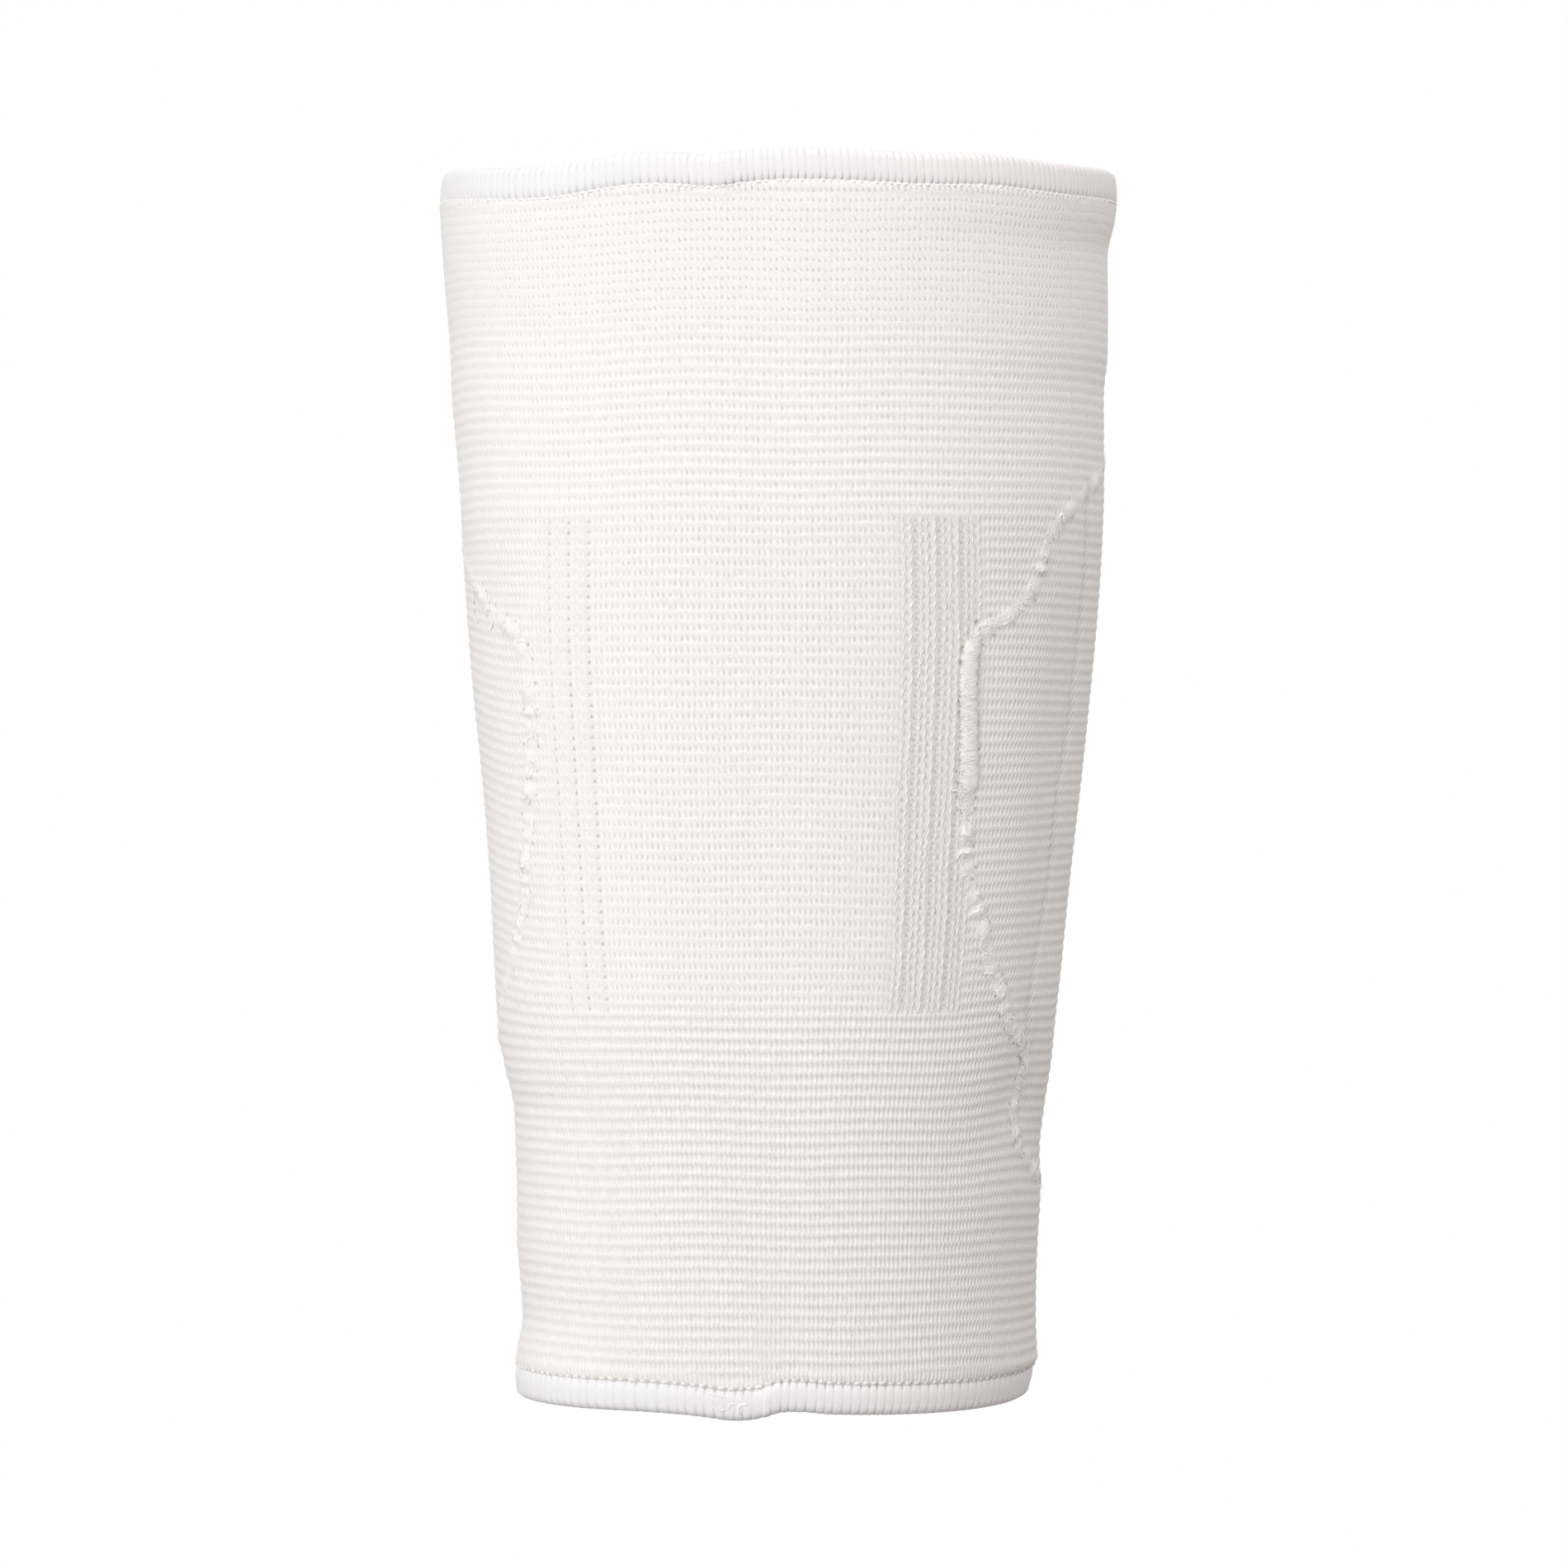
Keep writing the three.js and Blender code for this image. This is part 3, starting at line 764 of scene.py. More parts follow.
def knit_material():
    """White elastic knit: rows of small holes between ribs, raised ladder stitches and fine thread."""
    surface = Surface("ribbed_knit", roughness=0.95, sheen=0.2)
    wale, rib = surface.uv("knit")
    seam_along, seam_side = surface.uv("seam")
    tear_share, oval_share, dash_share, tight = surface.attributes("tear", "oval", "dash", "tight")
    ladder, ladder_count, dots = surface.attributes("ladder", "ladder_count", "dots")
    # closed is the share of painted shade in holes, valleys and ladders: less on the lit left side, a painted
    # light
    slant, closed, bulk, fold = surface.attributes("slant", "closed", "bulk", "fold")

    # Small waverings keep rows and loops from lying on a ruled grid. Within a cell of the knit, aside and
    # up run from -0.5 to 0.5, and two random numbers belong to it
    sway = surface.noise(surface.vector(wale * 0.55, rib * 0.8))
    waver = surface.noise(surface.vector(wale * 0.45 + 40.0, rib * 0.35 + 9.0))
    loop = wale + (sway - 0.5) * 0.34
    row = rib + (waver - 0.5) * 0.36
    up = row.fract() - 0.5
    leaned = loop + slant * up
    aside = leaned.fract() - 0.5
    luck = surface.dice(leaned.floor(), row.floor())
    other_luck = surface.dice(leaned.floor() + 31.7, row.floor() + 5.3)
    near = (aside + (luck - 0.5) * 0.16).abs()
    lifted = up + (other_luck - 0.5) * 0.12
    teeth = (aside.abs() * 2.0 - 0.5) * 0.20

    # The stitches: drop-shaped tears, ovals, and dashes in a valley, with painted shade in the valley and a
    # thin painted shadow under the rib above
    tear_near = (aside + (luck - 0.5) * 0.10 + up * tight * 0.30).abs() * (tight * 0.25 + 1.0)
    tear_up = lifted * (tight * 0.38 + 1.0)
    tear = ((tear_up + 0.22) * -0.50 + 0.26 - tear_near).ramp(-0.13, 0.15)
    tear = tear * tear_up.ramp(-0.46, -0.12) * tear_up.ramp(0.38, 0.10)
    oval = (near * near * 13.0 + lifted * lifted * 9.0 + lifted * 0.6).ramp(1.10, -0.10)
    dash = near.ramp(0.42, 0.04) * (lifted - teeth * 0.6).abs().ramp(0.40, 0.12)
    valley = (up + 0.02 - teeth).abs().ramp(0.44, 0.16)
    brow = (up - 0.25 - teeth).abs().ramp(0.15, 0.02)

    # The ladder: one repeat runs from 0 to 4 across its columns, and every second column is half a row up
    place = ladder_count.fract() * LADDER_COLUMNS + (sway - 0.5) * 0.25
    between = (row + 0.45).fract() - 0.5
    swing = (1.0 - up * up * 4.0) * 0.40
    border = ((place - swing).abs().least((place - 4.0 - swing).abs())).ramp(0.34, 0.04)
    strand = (place - 1.78).abs().least((place - 2.87).abs()).ramp(0.26, 0.05)
    low_loop, first_loop, second_loop = ((place - middle).abs() for middle in (0.98, 2.30, 3.42))
    first_tear = ((lifted + 0.30) * -0.42 + 0.36 - first_loop).ramp(-0.06, 0.20) * lifted.ramp(-0.44, -0.22)
    next_tear = ((between + 0.30) * -0.42 + 0.36 - second_loop).ramp(-0.06, 0.20) * between.ramp(-0.44, -0.22)
    open_tear = first_tear.most(next_tear)
    low_hole = low_loop.ramp(0.56, 0.05) * (up + 0.05).abs().ramp(0.68, 0.30)
    low_dot = (low_loop + up * 0.5).abs().ramp(0.36, 0.06) * (up + 0.12).abs().ramp(0.24, 0.04)
    slit_hole = (place - 1.45 + up * 0.25).abs().ramp(0.24, 0.02) * (between + 0.05).abs().ramp(0.48, 0.16)
    # The ladder is painted darker all over and most in its holes and dots: partly the darker inside seen
    # through them, partly painted shade
    ladder_shade = open_tear * (luck * 0.5 + 0.5) * 0.55 + low_hole * 0.28 + 0.12 + slit_hole * 0.42
    dark_dot = low_dot * dots * (other_luck * 0.6 + 0.4)

    # The seam covers the stitches beside it and pricks small pinholes into them
    in_seam = seam_side.ramp(2.0, 0.9) * (bulk.ramp(0.2, 0.7) * 0.35 + 0.65)
    clear = 1.0 - in_seam * 0.9
    lace = surface.noise(surface.vector(seam_along * 0.9, seam_side * 1.6), detail=3.0)
    # Pinholes are painted dark: partly the inside seen through them, partly painted shade
    pin_luck = surface.dice((seam_along / 2.6).floor(), (wale * 0.34).floor())
    pin = ((seam_along / 2.6).fract() - 0.3 - pin_luck * 0.4).abs().ramp(0.22, 0.05)
    pin = pin * (seam_side - 1.7 - pin_luck * 0.7).abs().ramp(0.55, 0.10) * pin_luck.ramp(0.45, 0.75)
    pin = pin * bulk.ramp(0.10, 0.5)

    thread = surface.noise(surface.vector(leaned * 3.6, row * 1.2), detail=4.0, roughness=0.66)
    fluff = surface.noise(surface.place(), 2300.0)
    patch = surface.noise(surface.place(), 55.0)
    plain = (1.0 - ladder) * clear
    # Holes are painted darker: partly the darker inside seen through them, partly painted shade in them
    tears = tear * tear_share * (luck * 0.35 + 0.62)
    ovals = oval * oval_share * (luck * 0.6 + 0.45)
    dashes = dash * dash_share * (other_luck * 0.6 + 0.4)
    holes_and_shade = (tears * (tight * 0.25 + 0.62) + ovals * 0.44 + dashes * 0.26) * plain * closed
    # Painted shade in the valleys, a painted shadow under each rib, and painted shade along the foam's fold
    valley_and_fold_shade = (valley * 0.10 + brow * 0.06) * dash_share * closed + fold * 0.16
    shade = holes_and_shade + valley_and_fold_shade * clear + ladder * ladder_shade * clear * closed + pin * 0.9
    shade = shade + dark_dot * 0.85 * clear
    shade = shade + (thread - 0.5) * 0.26 + (fluff - 0.5) * 0.14 + (patch - 0.5) * 0.06

    rungs = near.ramp(0.18, 0.48) * dash_share
    relief = (near * 0.42 + rungs * 0.30 - tears * 0.30 - ovals * 0.24 - dashes * 0.26) * plain
    raised = border * 0.22 + strand * 0.20 - open_tear * 0.30 - low_hole * 0.45 - slit_hole * 0.3
    relief = relief + raised * ladder * clear
    relief = relief + thread * 0.62 + fluff * 0.26 + lace * in_seam * 0.8 - pin * 0.8
    return surface.finish((0.915, 0.902, 0.884), (0.60, 0.51, 0.44), shade, relief, 0.20 * MM)


def yarn_material(name, light, dark):
    """Soft wrapped yarn: fine filaments across each stitch and a little fluff."""
    surface = Surface(name, roughness=0.9, sheen=0.35)
    around, up = surface.uv("stitch")
    # depth is the painted shade in the groove between stitches
    (depth,) = surface.attributes("groove")
    filament = surface.noise(surface.vector(around * 9.0, up * 0.7), detail=3.0, roughness=0.7)
    fluff = surface.noise(surface.place(), 3000.0)
    patch = surface.noise(surface.place(), 90.0)
    shade = depth + (filament - 0.5) * 0.10 + (fluff - 0.5) * 0.10 + (patch - 0.5) * 0.06
    return surface.finish(light, dark, shade, filament * 0.6 + fluff * 0.35, 0.10 * MM)


def strand_material(name, light, dark):
    """Loose and sewn thread with a fine fluff."""
    surface = Surface(name, roughness=0.9, sheen=0.4)
    fluff = surface.noise(surface.place(), 2400.0, detail=3.0, roughness=0.65)
    patch = surface.noise(surface.place(), 300.0)
    return surface.finish(light, dark, (fluff - 0.42) * 1.1 + (patch - 0.5) * 0.3, fluff, 0.12 * MM)


def seam_body_material():
    """Overcast yarn packed side by side: filaments that slant one way and then the other across the seam."""
    surface = Surface("seam_body", roughness=0.95, sheen=0.3)
    stitch, across = surface.uv("stitch")
    sway = (stitch * (2 * np.pi)).sine()
    bowed = stitch * 7.0 + across * sway * 2.4 + across * across * 1.4
    filament = surface.noise(surface.vector(bowed, across * 0.7), roughness=0.6)
    fluff = surface.noise(surface.place(), 2600.0)
    # The body's sides are painted darker, a painted shade where they dip into the knit
    shade = (filament - 0.47) * 1.8 + (fluff - 0.5) * 0.3 + across.abs().ramp(0.6, 1.0) * 0.35
    return surface.finish((0.93, 0.918, 0.90), (0.60, 0.54, 0.50), shade, filament + fluff * 0.25, 0.32 * MM)


def lining_material():
    """The close knit that covers the foam on the leg's side."""
    surface = Surface("pad_lining", roughness=0.95, sheen=0.25)
    fluff = surface.noise(surface.place(), 2200.0)
    patch = surface.noise(surface.place(), 45.0)
    waves = {"Scale": 260.0, "Distortion": 1.2, "Detail Scale": 6.0, "Vector": surface.place()}
    courses = surface.field("Fac", "ShaderNodeTexWave", waves, bands_direction="Z")
    # The hollows between courses are painted darker, a painted shade
    shade = (1.0 - courses) * 0.22 + (fluff - 0.5) * 0.14 + (patch - 0.5) * 0.10
    relief = courses * 0.6 + fluff * 0.4
    return surface.finish((0.88, 0.87, 0.845), (0.60, 0.56, 0.52), shade, relief, 0.18 * MM)


def add_object(name, data, place=(0, 0, 0), rotation=(0, 0, 0)):
    made = bpy.data.objects.new(name, data)
    made.location = place
    made.rotation_euler = rotation
    bpy.context.scene.collection.objects.link(made)
    return made


def make_camera():
    data = bpy.data.cameras.new("camera")
    data.sensor_width = SENSOR
    data.lens = SENSOR * CAMERA_DISTANCE / VIEW_WIDTH
    data.clip_end = 20
    place = (CAMERA_SIDE, -CAMERA_DISTANCE, 0)
    bpy.context.scene.camera = add_object("camera", data, place, (np.pi / 2, 0, 0))


def aimed_light(name, place, size, power, colour):
    data = bpy.data.lights.new(name, "AREA")
    data.shape = "SQUARE"
    data.size = size
    data.energy = power
    data.color = colour
    add_object(name, data, place, (-Vector(place)).to_track_quat("-Z", "Y").to_euler())


def make_studio():
    """White all round for the eye, softer grey light for the object, and its softboxes."""
    scene = bpy.context.scene
    scene.view_settings.view_transform = "Standard"
    scene.view_settings.look = "None"
    world = bpy.data.worlds.new("studio")
    world.use_nodes = True
    tree = world.node_tree
    seen = tree.nodes["Background"]
    seen.inputs["Color"].default_value = (1, 1, 1, 1)
    around = tree.nodes.new("ShaderNodeTexCoord").outputs["Generated"]
    split = add_node(tree, "ShaderNodeSeparateXYZ", {0: around})
    height = add_node(tree, "ShaderNodeMapRange", {"From Min": -1.0, "Value": split.outputs["Z"]})
    shades = {"A": (*STUDIO_BELOW, 1), "B": (*STUDIO_ABOVE, 1), "Factor": height.outputs["Result"]}
    sky = add_node(tree, "ShaderNodeMix", shades, data_type="RGBA")
    lit = add_node(tree, "ShaderNodeBackground", {"Color": sky.outputs["Result"]})
    eye = tree.nodes.new("ShaderNodeLightPath").outputs["Is Camera Ray"]
    mix = add_node(tree, "ShaderNodeMixShader", {0: eye, 1: lit.outputs[0], 2: seen.outputs[0]})
    tree.links.new(mix.outputs[0], tree.nodes["World Output"].inputs[0])
    scene.world = world
    for lamp in LAMPS:
        aimed_light(**lamp)


def make_floor():
    """A pale floor well below the sleeve, which hangs as a leg would hold it."""
    mesh = bpy.data.meshes.new("floor")
    corners = [(side * FLOOR_HALF, ahead * FLOOR_HALF, FLOOR_HEIGHT) for side, ahead in FLOOR_CORNERS]
    mesh.from_pydata(corners, [], [(0, 1, 2, 3)])
    material = bpy.data.materials.new("floor")
    material.use_nodes = True
    tree = material.node_tree
    glow = add_node(tree, "ShaderNodeEmission", {"Color": (1, 1, 1, 1)})
    tree.links.new(glow.outputs[0], tree.nodes["Material Output"].inputs[0])
    mesh.materials.append(material)
    floor = add_object("floor", mesh)
    floor.visible_diffuse = False
    floor.visible_glossy = False
    floor.visible_shadow = False


def ladder_weight(wale, height, name="strength"):
    """How much of a ladder's column of LADDERS applies at a place."""
    inside = 0
    for ladder in LADDERS:
        inside = inside + window(wale, ladder["first"], ladder["last"], LADDER_EDGE) * ladder[name]
    return inside * window(height, PANEL_BOTTOM, PANEL_TOP, PANEL_EDGE)


def ladder_count(wale):
    """Repeats counted across whichever ladder is nearer."""
    left, right = ((wale - ladder["zero"]) / ladder["repeat"] for ladder in LADDERS)
    return np.where(wale < 0, left, right)


def fold_weight(turn, height):
    """1 along the fold at the foam's right edge, 0 away from it and past its ends."""
    turns, heights = np.array(CREASE, float).T
    heights = heights * MM
    long_fade, short_fade = CREASE_FADES
    ends = smoothstep(height, heights[0] - long_fade, heights[0])
    ends = ends * (1 - smoothstep(height, heights[-1] - short_fade, heights[-1] + long_fade))
    radius = np.linalg.norm(wall.point(turn, height)[..., :2], axis=-1)
    away = np.radians(wrap_turn(turn) - np.interp(height, heights, turns)) * radius
    return bell(away, CREASE_WIDTH) * ends


def knit_coordinates(turns, heights):
    """Loops and ribs at each corner of the sleeve's mesh, with one row and column more than its points."""
    turns = np.append(turns, turns[0] + 360)
    wale = wale_index(wrap_turn(turns)[None, :], heights[:, None])
    wale = wale + WALES * np.floor((turns + 180) / 360)[None, :]
    rib = rib_index(turns[None, :], heights[:, None])
    both = np.stack([wale, rib], axis=-1)
    return np.concatenate([both, both[:1]], axis=0)


def make_sleeve(material):
    """The knit tube: its outside with ribs, seam furrow and fold, and its plain inside."""
    turns = np.concatenate([np.arange(span["start"], span["end"], span["step"]) for span in COLUMN_SPANS])
    levels = np.interp(np.arange(0, fine_ribs[-1], 1 / ROWS_PER_RIB), fine_ribs, fine_heights)
    levels = levels[(levels > wall.low) & (levels < wall.high)]
    outer_rows = len(levels) + 2
    inner_heights = np.linspace(wall.high, wall.low, INNER_ROWS)
    heights = np.concatenate([[wall.low], levels, [wall.high], inner_heights])
    turn, height = np.meshgrid(turns, heights)
    outer, inner = slice(0, outer_rows), slice(outer_rows, None)

    wale = wale_index(wrap_turn(turn), height)
    ladder = ladder_weight(wale, height)
    beside = window(height, *SIDE_BAND) * smoothstep(np.abs(wrap_turn(turn - PANEL_TURN)), *PANEL_HALF_TURNS)
    fold = fold_weight(turn, height)
    base = wall.point(turn[outer], height[outer])
    along, side = seam.nearest(base)

    crest = 0.5 + 0.5 * np.cos(2 * np.pi * rib_index(turn, height))
    depth = (rib_column("depth", height) + SIDE_DEPTH * beside) * MM
    from_rim = np.minimum(height - wall.low, wall.high - height)
    ribs = (crest - RIB_BASE) * depth * smoothstep(from_rim, *RIB_STARTS)
    furrow = bell(side, SEAM_FURROW_WIDTH)
    lift = ribs[outer] * (1 - SEAM_FLATTENS * furrow) + seam_lift(along, side)
    lift = lift * (1 - LADDER_FLATTENS * ladder[outer] * (1 - furrow)) - LADDER_SINK * ladder[outer]
    lift = lift + LIP_FILL * bell(from_rim[outer] - LIP_FILL_PLACE, LIP_FILL_WIDTH)
    lift = lift - CREASE_DEPTH * fold[outer]
    outside = base + wall.normal(turn[outer], height[outer]) * lift[..., None]
    points = np.concatenate([outside, wall.point(turn[inner], height[inner], "inner")], axis=0)

    knit_uv = knit_coordinates(turns, heights)
    seam_uv = np.full((*knit_uv.shape[:2], 2), SEAM_REACH / MM)
    seam_uv[outer, :-1] = np.stack([along, side], axis=-1) / MM
    seam_uv[:, -1] = seam_uv[:, 0]
    bulk = np.zeros(turn.shape)
    bulk[outer] = seam.bulk_at(along)
    lean = wrap_turn(turn - LEAN_TURN)
    slant = np.sign(lean) * smoothstep(np.abs(lean), *LEAN_STARTS)
    slant = slant * (1 - smoothstep(np.abs(lean), *LEAN_ENDS))
    shade_kept = np.maximum(smoothstep(lean, *SHADE_RETURN_TURNS), 1 - smoothstep(lean, *SHADE_FADE_TURNS))
    attributes = {
        "tear": rib_column("tear", height) * (1 - FEWER_TEARS * beside),
        "oval": rib_column("oval", height),
        "dash": np.clip(rib_column("dash", height) + MORE_DASHES * beside, 0, 1),
        "tight": smoothstep(height, *TIGHT_KNIT),
        "ladder": ladder,
        "ladder_count": ladder_count(wale),
        "dots": ladder_weight(wale, height, "dots") * (DOTS_FIRST + DOTS_MORE * smoothstep(wale, *DOTS_GROW)),
        "slant": LEAN_OF_ALL - slant,
        # Less painted shade on the lit left side, a painted light
        "closed": LIT_SIDE_SHADE_SHARE + (1 - LIT_SIDE_SHADE_SHARE) * shade_kept,
        "bulk": bulk,
        # The fold also gets painted shade in the knit's colour
        "fold": fold,
    }
    sleeve = grid_object("ribbed_sleeve", points, material, {"knit": knit_uv, "seam": seam_uv}, attributes)
    return as_piece(sleeve, "knit_sleeve")


def stitch_edges(count, seed):
    """Where each wrapped stitch starts, as shares of the way round, a little uneven."""
    dice = np.random.default_rng(seed)
    widths = dice.uniform(0.82, 1.18, count)
    return np.concatenate([[0], np.cumsum(widths)]) / widths.sum()


def stitch_turns(hem, edges, stitch, phase):
    """Turns at a share of the way through stitches that are counted from the hem's join."""
    return hem["join_turn"] + 360 * (edges[stitch] + (edges[stitch + 1] - edges[stitch]) * phase)


def rim_of(hem):
    return wall.high if hem["way"] > 0 else wall.low


def make_hem(hem, material, chain_material):
    """Yarn wrapped over one rim, with a groove between stitches and a join near the back's middle."""
    way, seed = hem["way"], hem["seed"]
    low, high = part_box(hem["node"])
    girth = np.pi * (high.x - low.x + high.y - low.y) / 2
    count = round(girth / (hem["pitch"] * MM))
    edges = stitch_edges(count, seed)
    share = np.arange(count * COLUMNS_PER_STITCH + 1) / COLUMNS_PER_STITCH
    stitch = np.clip(np.floor(share).astype(int), 0, count - 1)
    phase = share - stitch
    turns = stitch_turns(hem, edges, stitch, phase)
    dice = np.random.default_rng(seed + 1)
    plump = dice.uniform(0.7, 1.2, count)[stitch]
    grip = dice.uniform(0.55, 1.1, count + 1)[np.round(share).astype(int)]

    edge = wall.point(turns, rim_of(hem))
    outer_edge = np.linalg.norm(edge[:, :2], axis=1)
    inner_edge = np.linalg.norm(wall.point(turns, rim_of(hem), "inner")[:, :2], axis=1)
    middle, half_wall = (outer_edge + inner_edge) / 2, (outer_edge - inner_edge) / 2
    from_join = np.radians(wrap_turn(turns - hem["join_turn"])) * np.mean(outer_edge)
    calm = 1 - 0.85 * bell(from_join, JOIN_CALM)
    groove = bell(np.minimum(phase, 1 - phase), GROOVE_WIDTH) * grip * calm
    crown = (1 - (2 * phase - 1) ** 2) * plump * calm

    rows, groove_shades, reaches = [], [], []
    for spot in HEM_SECTION:
        sink = (GROOVE_DEPTH * groove - STITCH_CROWN * crown) * spot["groove"]
        if spot["face"] == "crest":
            angle = np.radians(spot["place"])
            ring = spot["out"] * MM + half_wall - sink
            radius = middle + ring * np.cos(angle)
            z = edge[:, 2] + way * (ring * np.sin(angle) - half_wall)
            reach = HEM_LIP + spot["place"] / 45
        else:
            below = spot["place"]
            rounded = STITCH_ROUNDING * (crown - groove) * smoothstep(below, 4.0, 5.2)
            place = wall.point(turns, rim_of(hem) - way * (below * MM + rounded), spot["face"])
            bowed = 1 - hem["bow"] * ((below - BOW_MIDDLE) / BOW_MIDDLE) ** 2
            outward = 1 if spot["face"] == "outer" else -1
            radius = np.linalg.norm(place[:, :2], axis=1) + outward * (spot["out"] * bowed * MM - sink)
            z = place[:, 2]
            reach = HEM_LIP - below
        angle = np.radians(turns) + STITCH_LEAN * smoothstep(reach, 0.5, 8.0) / np.mean(outer_edge)
        rows.append(np.stack([radius * np.sin(angle), -radius * np.cos(angle), z], axis=-1))
        groove_shades.append(groove * spot["groove"])
        reaches.append(np.full(turns.shape, reach))
    rows, groove_shades, reaches = np.array(rows), np.array(groove_shades), np.array(reaches)

    fresh = bell(from_join - JOIN_STEP, JOIN_REACH) * (from_join > JOIN_STEP)
    proud = np.array([spot["groove"] > 0 for spot in HEM_SECTION], float)
    angle = np.radians(turns)
    outward = np.stack([np.sin(angle), -np.cos(angle), np.full(turns.shape, 0.5 * way)], axis=-1)
    rows = rows + outward[None] * (fresh * JOIN_PROUD)[None, :, None] * proud[:, None, None]
    stitch_uv = np.stack([np.broadcast_to(share, reaches.shape), reaches], axis=-1)
    if way < 0:
        rows, groove_shades, stitch_uv = rows[::-1], groove_shades[::-1], stitch_uv[::-1]
    stitch_uv = np.concatenate([stitch_uv, stitch_uv[:1]], axis=0)
    # The groove between stitches gets painted shade
    shade = {"groove": groove_shades[:, :-1] * GROOVE_SHADE}
    made = grid_object(hem["name"], rows[:, :-1], material, {"stitch": stitch_uv}, shade)
    return [as_piece(made, hem["node"]), make_chain(hem, edges, chain_material)]


def make_chain(hem, edges, material):
    """The looper thread along a hem's lip: it dips between stitches and swells over each."""
    count = len(edges) - 1
    dice = np.random.default_rng(hem["seed"] + 2)
    phase = np.tile(np.linspace(0, 1, CHAIN_STEPS, endpoint=False), count)
    stitch = np.repeat(np.arange(count), CHAIN_STEPS)
    turn = stitch_turns(hem, edges, stitch, phase)
    size = dice.uniform(0.7, 1.25, count)[stitch]
    arch = np.sin(np.pi * phase) ** 2 * size
    below = CHAIN_BELOW + 0.28 * arch + 0.12 * ripple(turn, 0, hem["seed"] + 3, reach=30)
    height = rim_of(hem) - hem["way"] * below * MM
    points = wall.lifted(turn, height, (0.74 + 0.20 * arch) * MM)
    radii = (0.40 + 0.14 * arch) * MM
    path, outward, radii = (
        np.concatenate([values, values[:1]])[None] for values in (points, wall.normal(turn, height), radii)
    )
    chain = strands_object(hem["name"] + "_chain", path, radii, outward, material, sides=8, flat=0.55)
    return as_piece(chain)


def sewn_threads(name, paths, radii, outward, material, sides, flat=1.0):
    """Threads that lie on the knit as a piece of their own."""
    return as_piece(strands_object(name, paths, radii, outward, material, sides, flat))


def make_ladder_strands(material):
    """Raised threads that run down a ladder: scalloped borders and two straighter ones between them."""
    paths, outwards, radii = [], [], []
    dice = np.random.default_rng(SEED + 5)
    heights = np.arange(PANEL_BOTTOM - 0.5 * MM, PANEL_TOP + 0.5 * MM, LADDER_THREAD_STEP)
    turns = np.linspace(-75, 75, 1501)
    wales = np.array([wale_index(turns, height) for height in heights])

    def turns_of(loops):
        return np.array([np.interp(loop, row, turns) for loop, row in zip(loops, wales)])

    for ladder in LADDERS:
        if not ladder["threads"]:
            continue
        for repeat in range(-6, 7):
            for strand in LADDER_STRANDS:
                sway = dice.uniform(-0.1, 0.1) + 0.16 * ripple(0, heights * 6, dice.integers(1000))
                share = (strand["place"] + sway) / LADDER_COLUMNS
                loop = ladder["zero"] + (repeat + share) * ladder["repeat"]
                if loop.min() < ladder["first"] - 0.4 or loop.max() > ladder["last"] + 0.4:
                    continue
                up = (rib_index(turns_of(loop), heights) + 0.5 + dice.uniform(-0.12, 0.12)) % 1 - 0.5
                scalloped = strand["swing"] > SCALLOP_SWING
                belly = 1 - 4 * up**2 if scalloped else np.cos(2 * np.pi * up)
                turn = turns_of(loop + strand["swing"] * belly / LADDER_COLUMNS * ladder["repeat"])
                lift = strand["lift"] * (0.75 + 0.45 * np.cos(2 * np.pi * up)) * MM * ladder["strength"]
                paths.append(wall.lifted(turn, heights, lift))
                outwards.append(wall.normal(turn, heights))
                thick = 1 + 0.18 * ripple(0, heights * 30, dice.integers(1000))
                thick = np.clip(thick, 0.6, 1.4) * (0.6 + 0.4 * ladder["strength"])
                radii.append(strand["radius"] * MM * thick)
    return sewn_threads("ladder_threads", paths, radii, outwards, material, sides=5, flat=0.38)


def core_height(bulk):
    """How high the top of the seam's body stands above the knit."""
    return (-0.40 + 1.02 * smoothstep(bulk, *BODY_BULK)) * MM


def make_seam_core(material):
    """The soft body of the overcast seam: sunk out of sight along most of it, full where the yarn bunches."""
    count = round(seam.length / SEAM_STEP)
    along = np.arange(count) * seam.length / count
    angle = np.linspace(0, 2 * np.pi, 15)
    full = smoothstep(seam.bulk_at(along), *BODY_BULK)
    stitches = round(seam.length / SEAM_STITCH)
    stitch = along / seam.length * stitches
    lump = (0.5 + 0.5 * np.cos(2 * np.pi * stitch)) * (0.75 + 0.35 * ripple(0, along * 4, SEED + 9))
    wander = (0.22 * ripple(0, along * 2, SEED + 10) + 0.22 * full * np.sin(2 * np.pi * stitch)) * MM
    wide = (0.75 + 1.28 * full + 0.36 * lump * full) * MM
    tall = (0.34 + 0.36 * full + 0.15 * lump * full) * MM
    side = wander[:, None] + wide[:, None] * np.cos(angle)
    middle = core_height(seam.bulk_at(along)) - 0.36 * full * MM
    lift = middle[:, None] + tall[:, None] * (np.sin(angle) - 0.3)
    points, _ = seam.at(np.broadcast_to(along[:, None], side.shape), side, lift)
    stitch_uv = np.stack(np.broadcast_arrays(stitch[:, None], np.cos(angle)), axis=-1)
    stitch_uv = np.concatenate([stitch_uv, stitch_uv[:1] + [stitches, 0]])
    return as_piece(grid_object("seam_core", points[:, :-1], material, {"stitch": stitch_uv}))


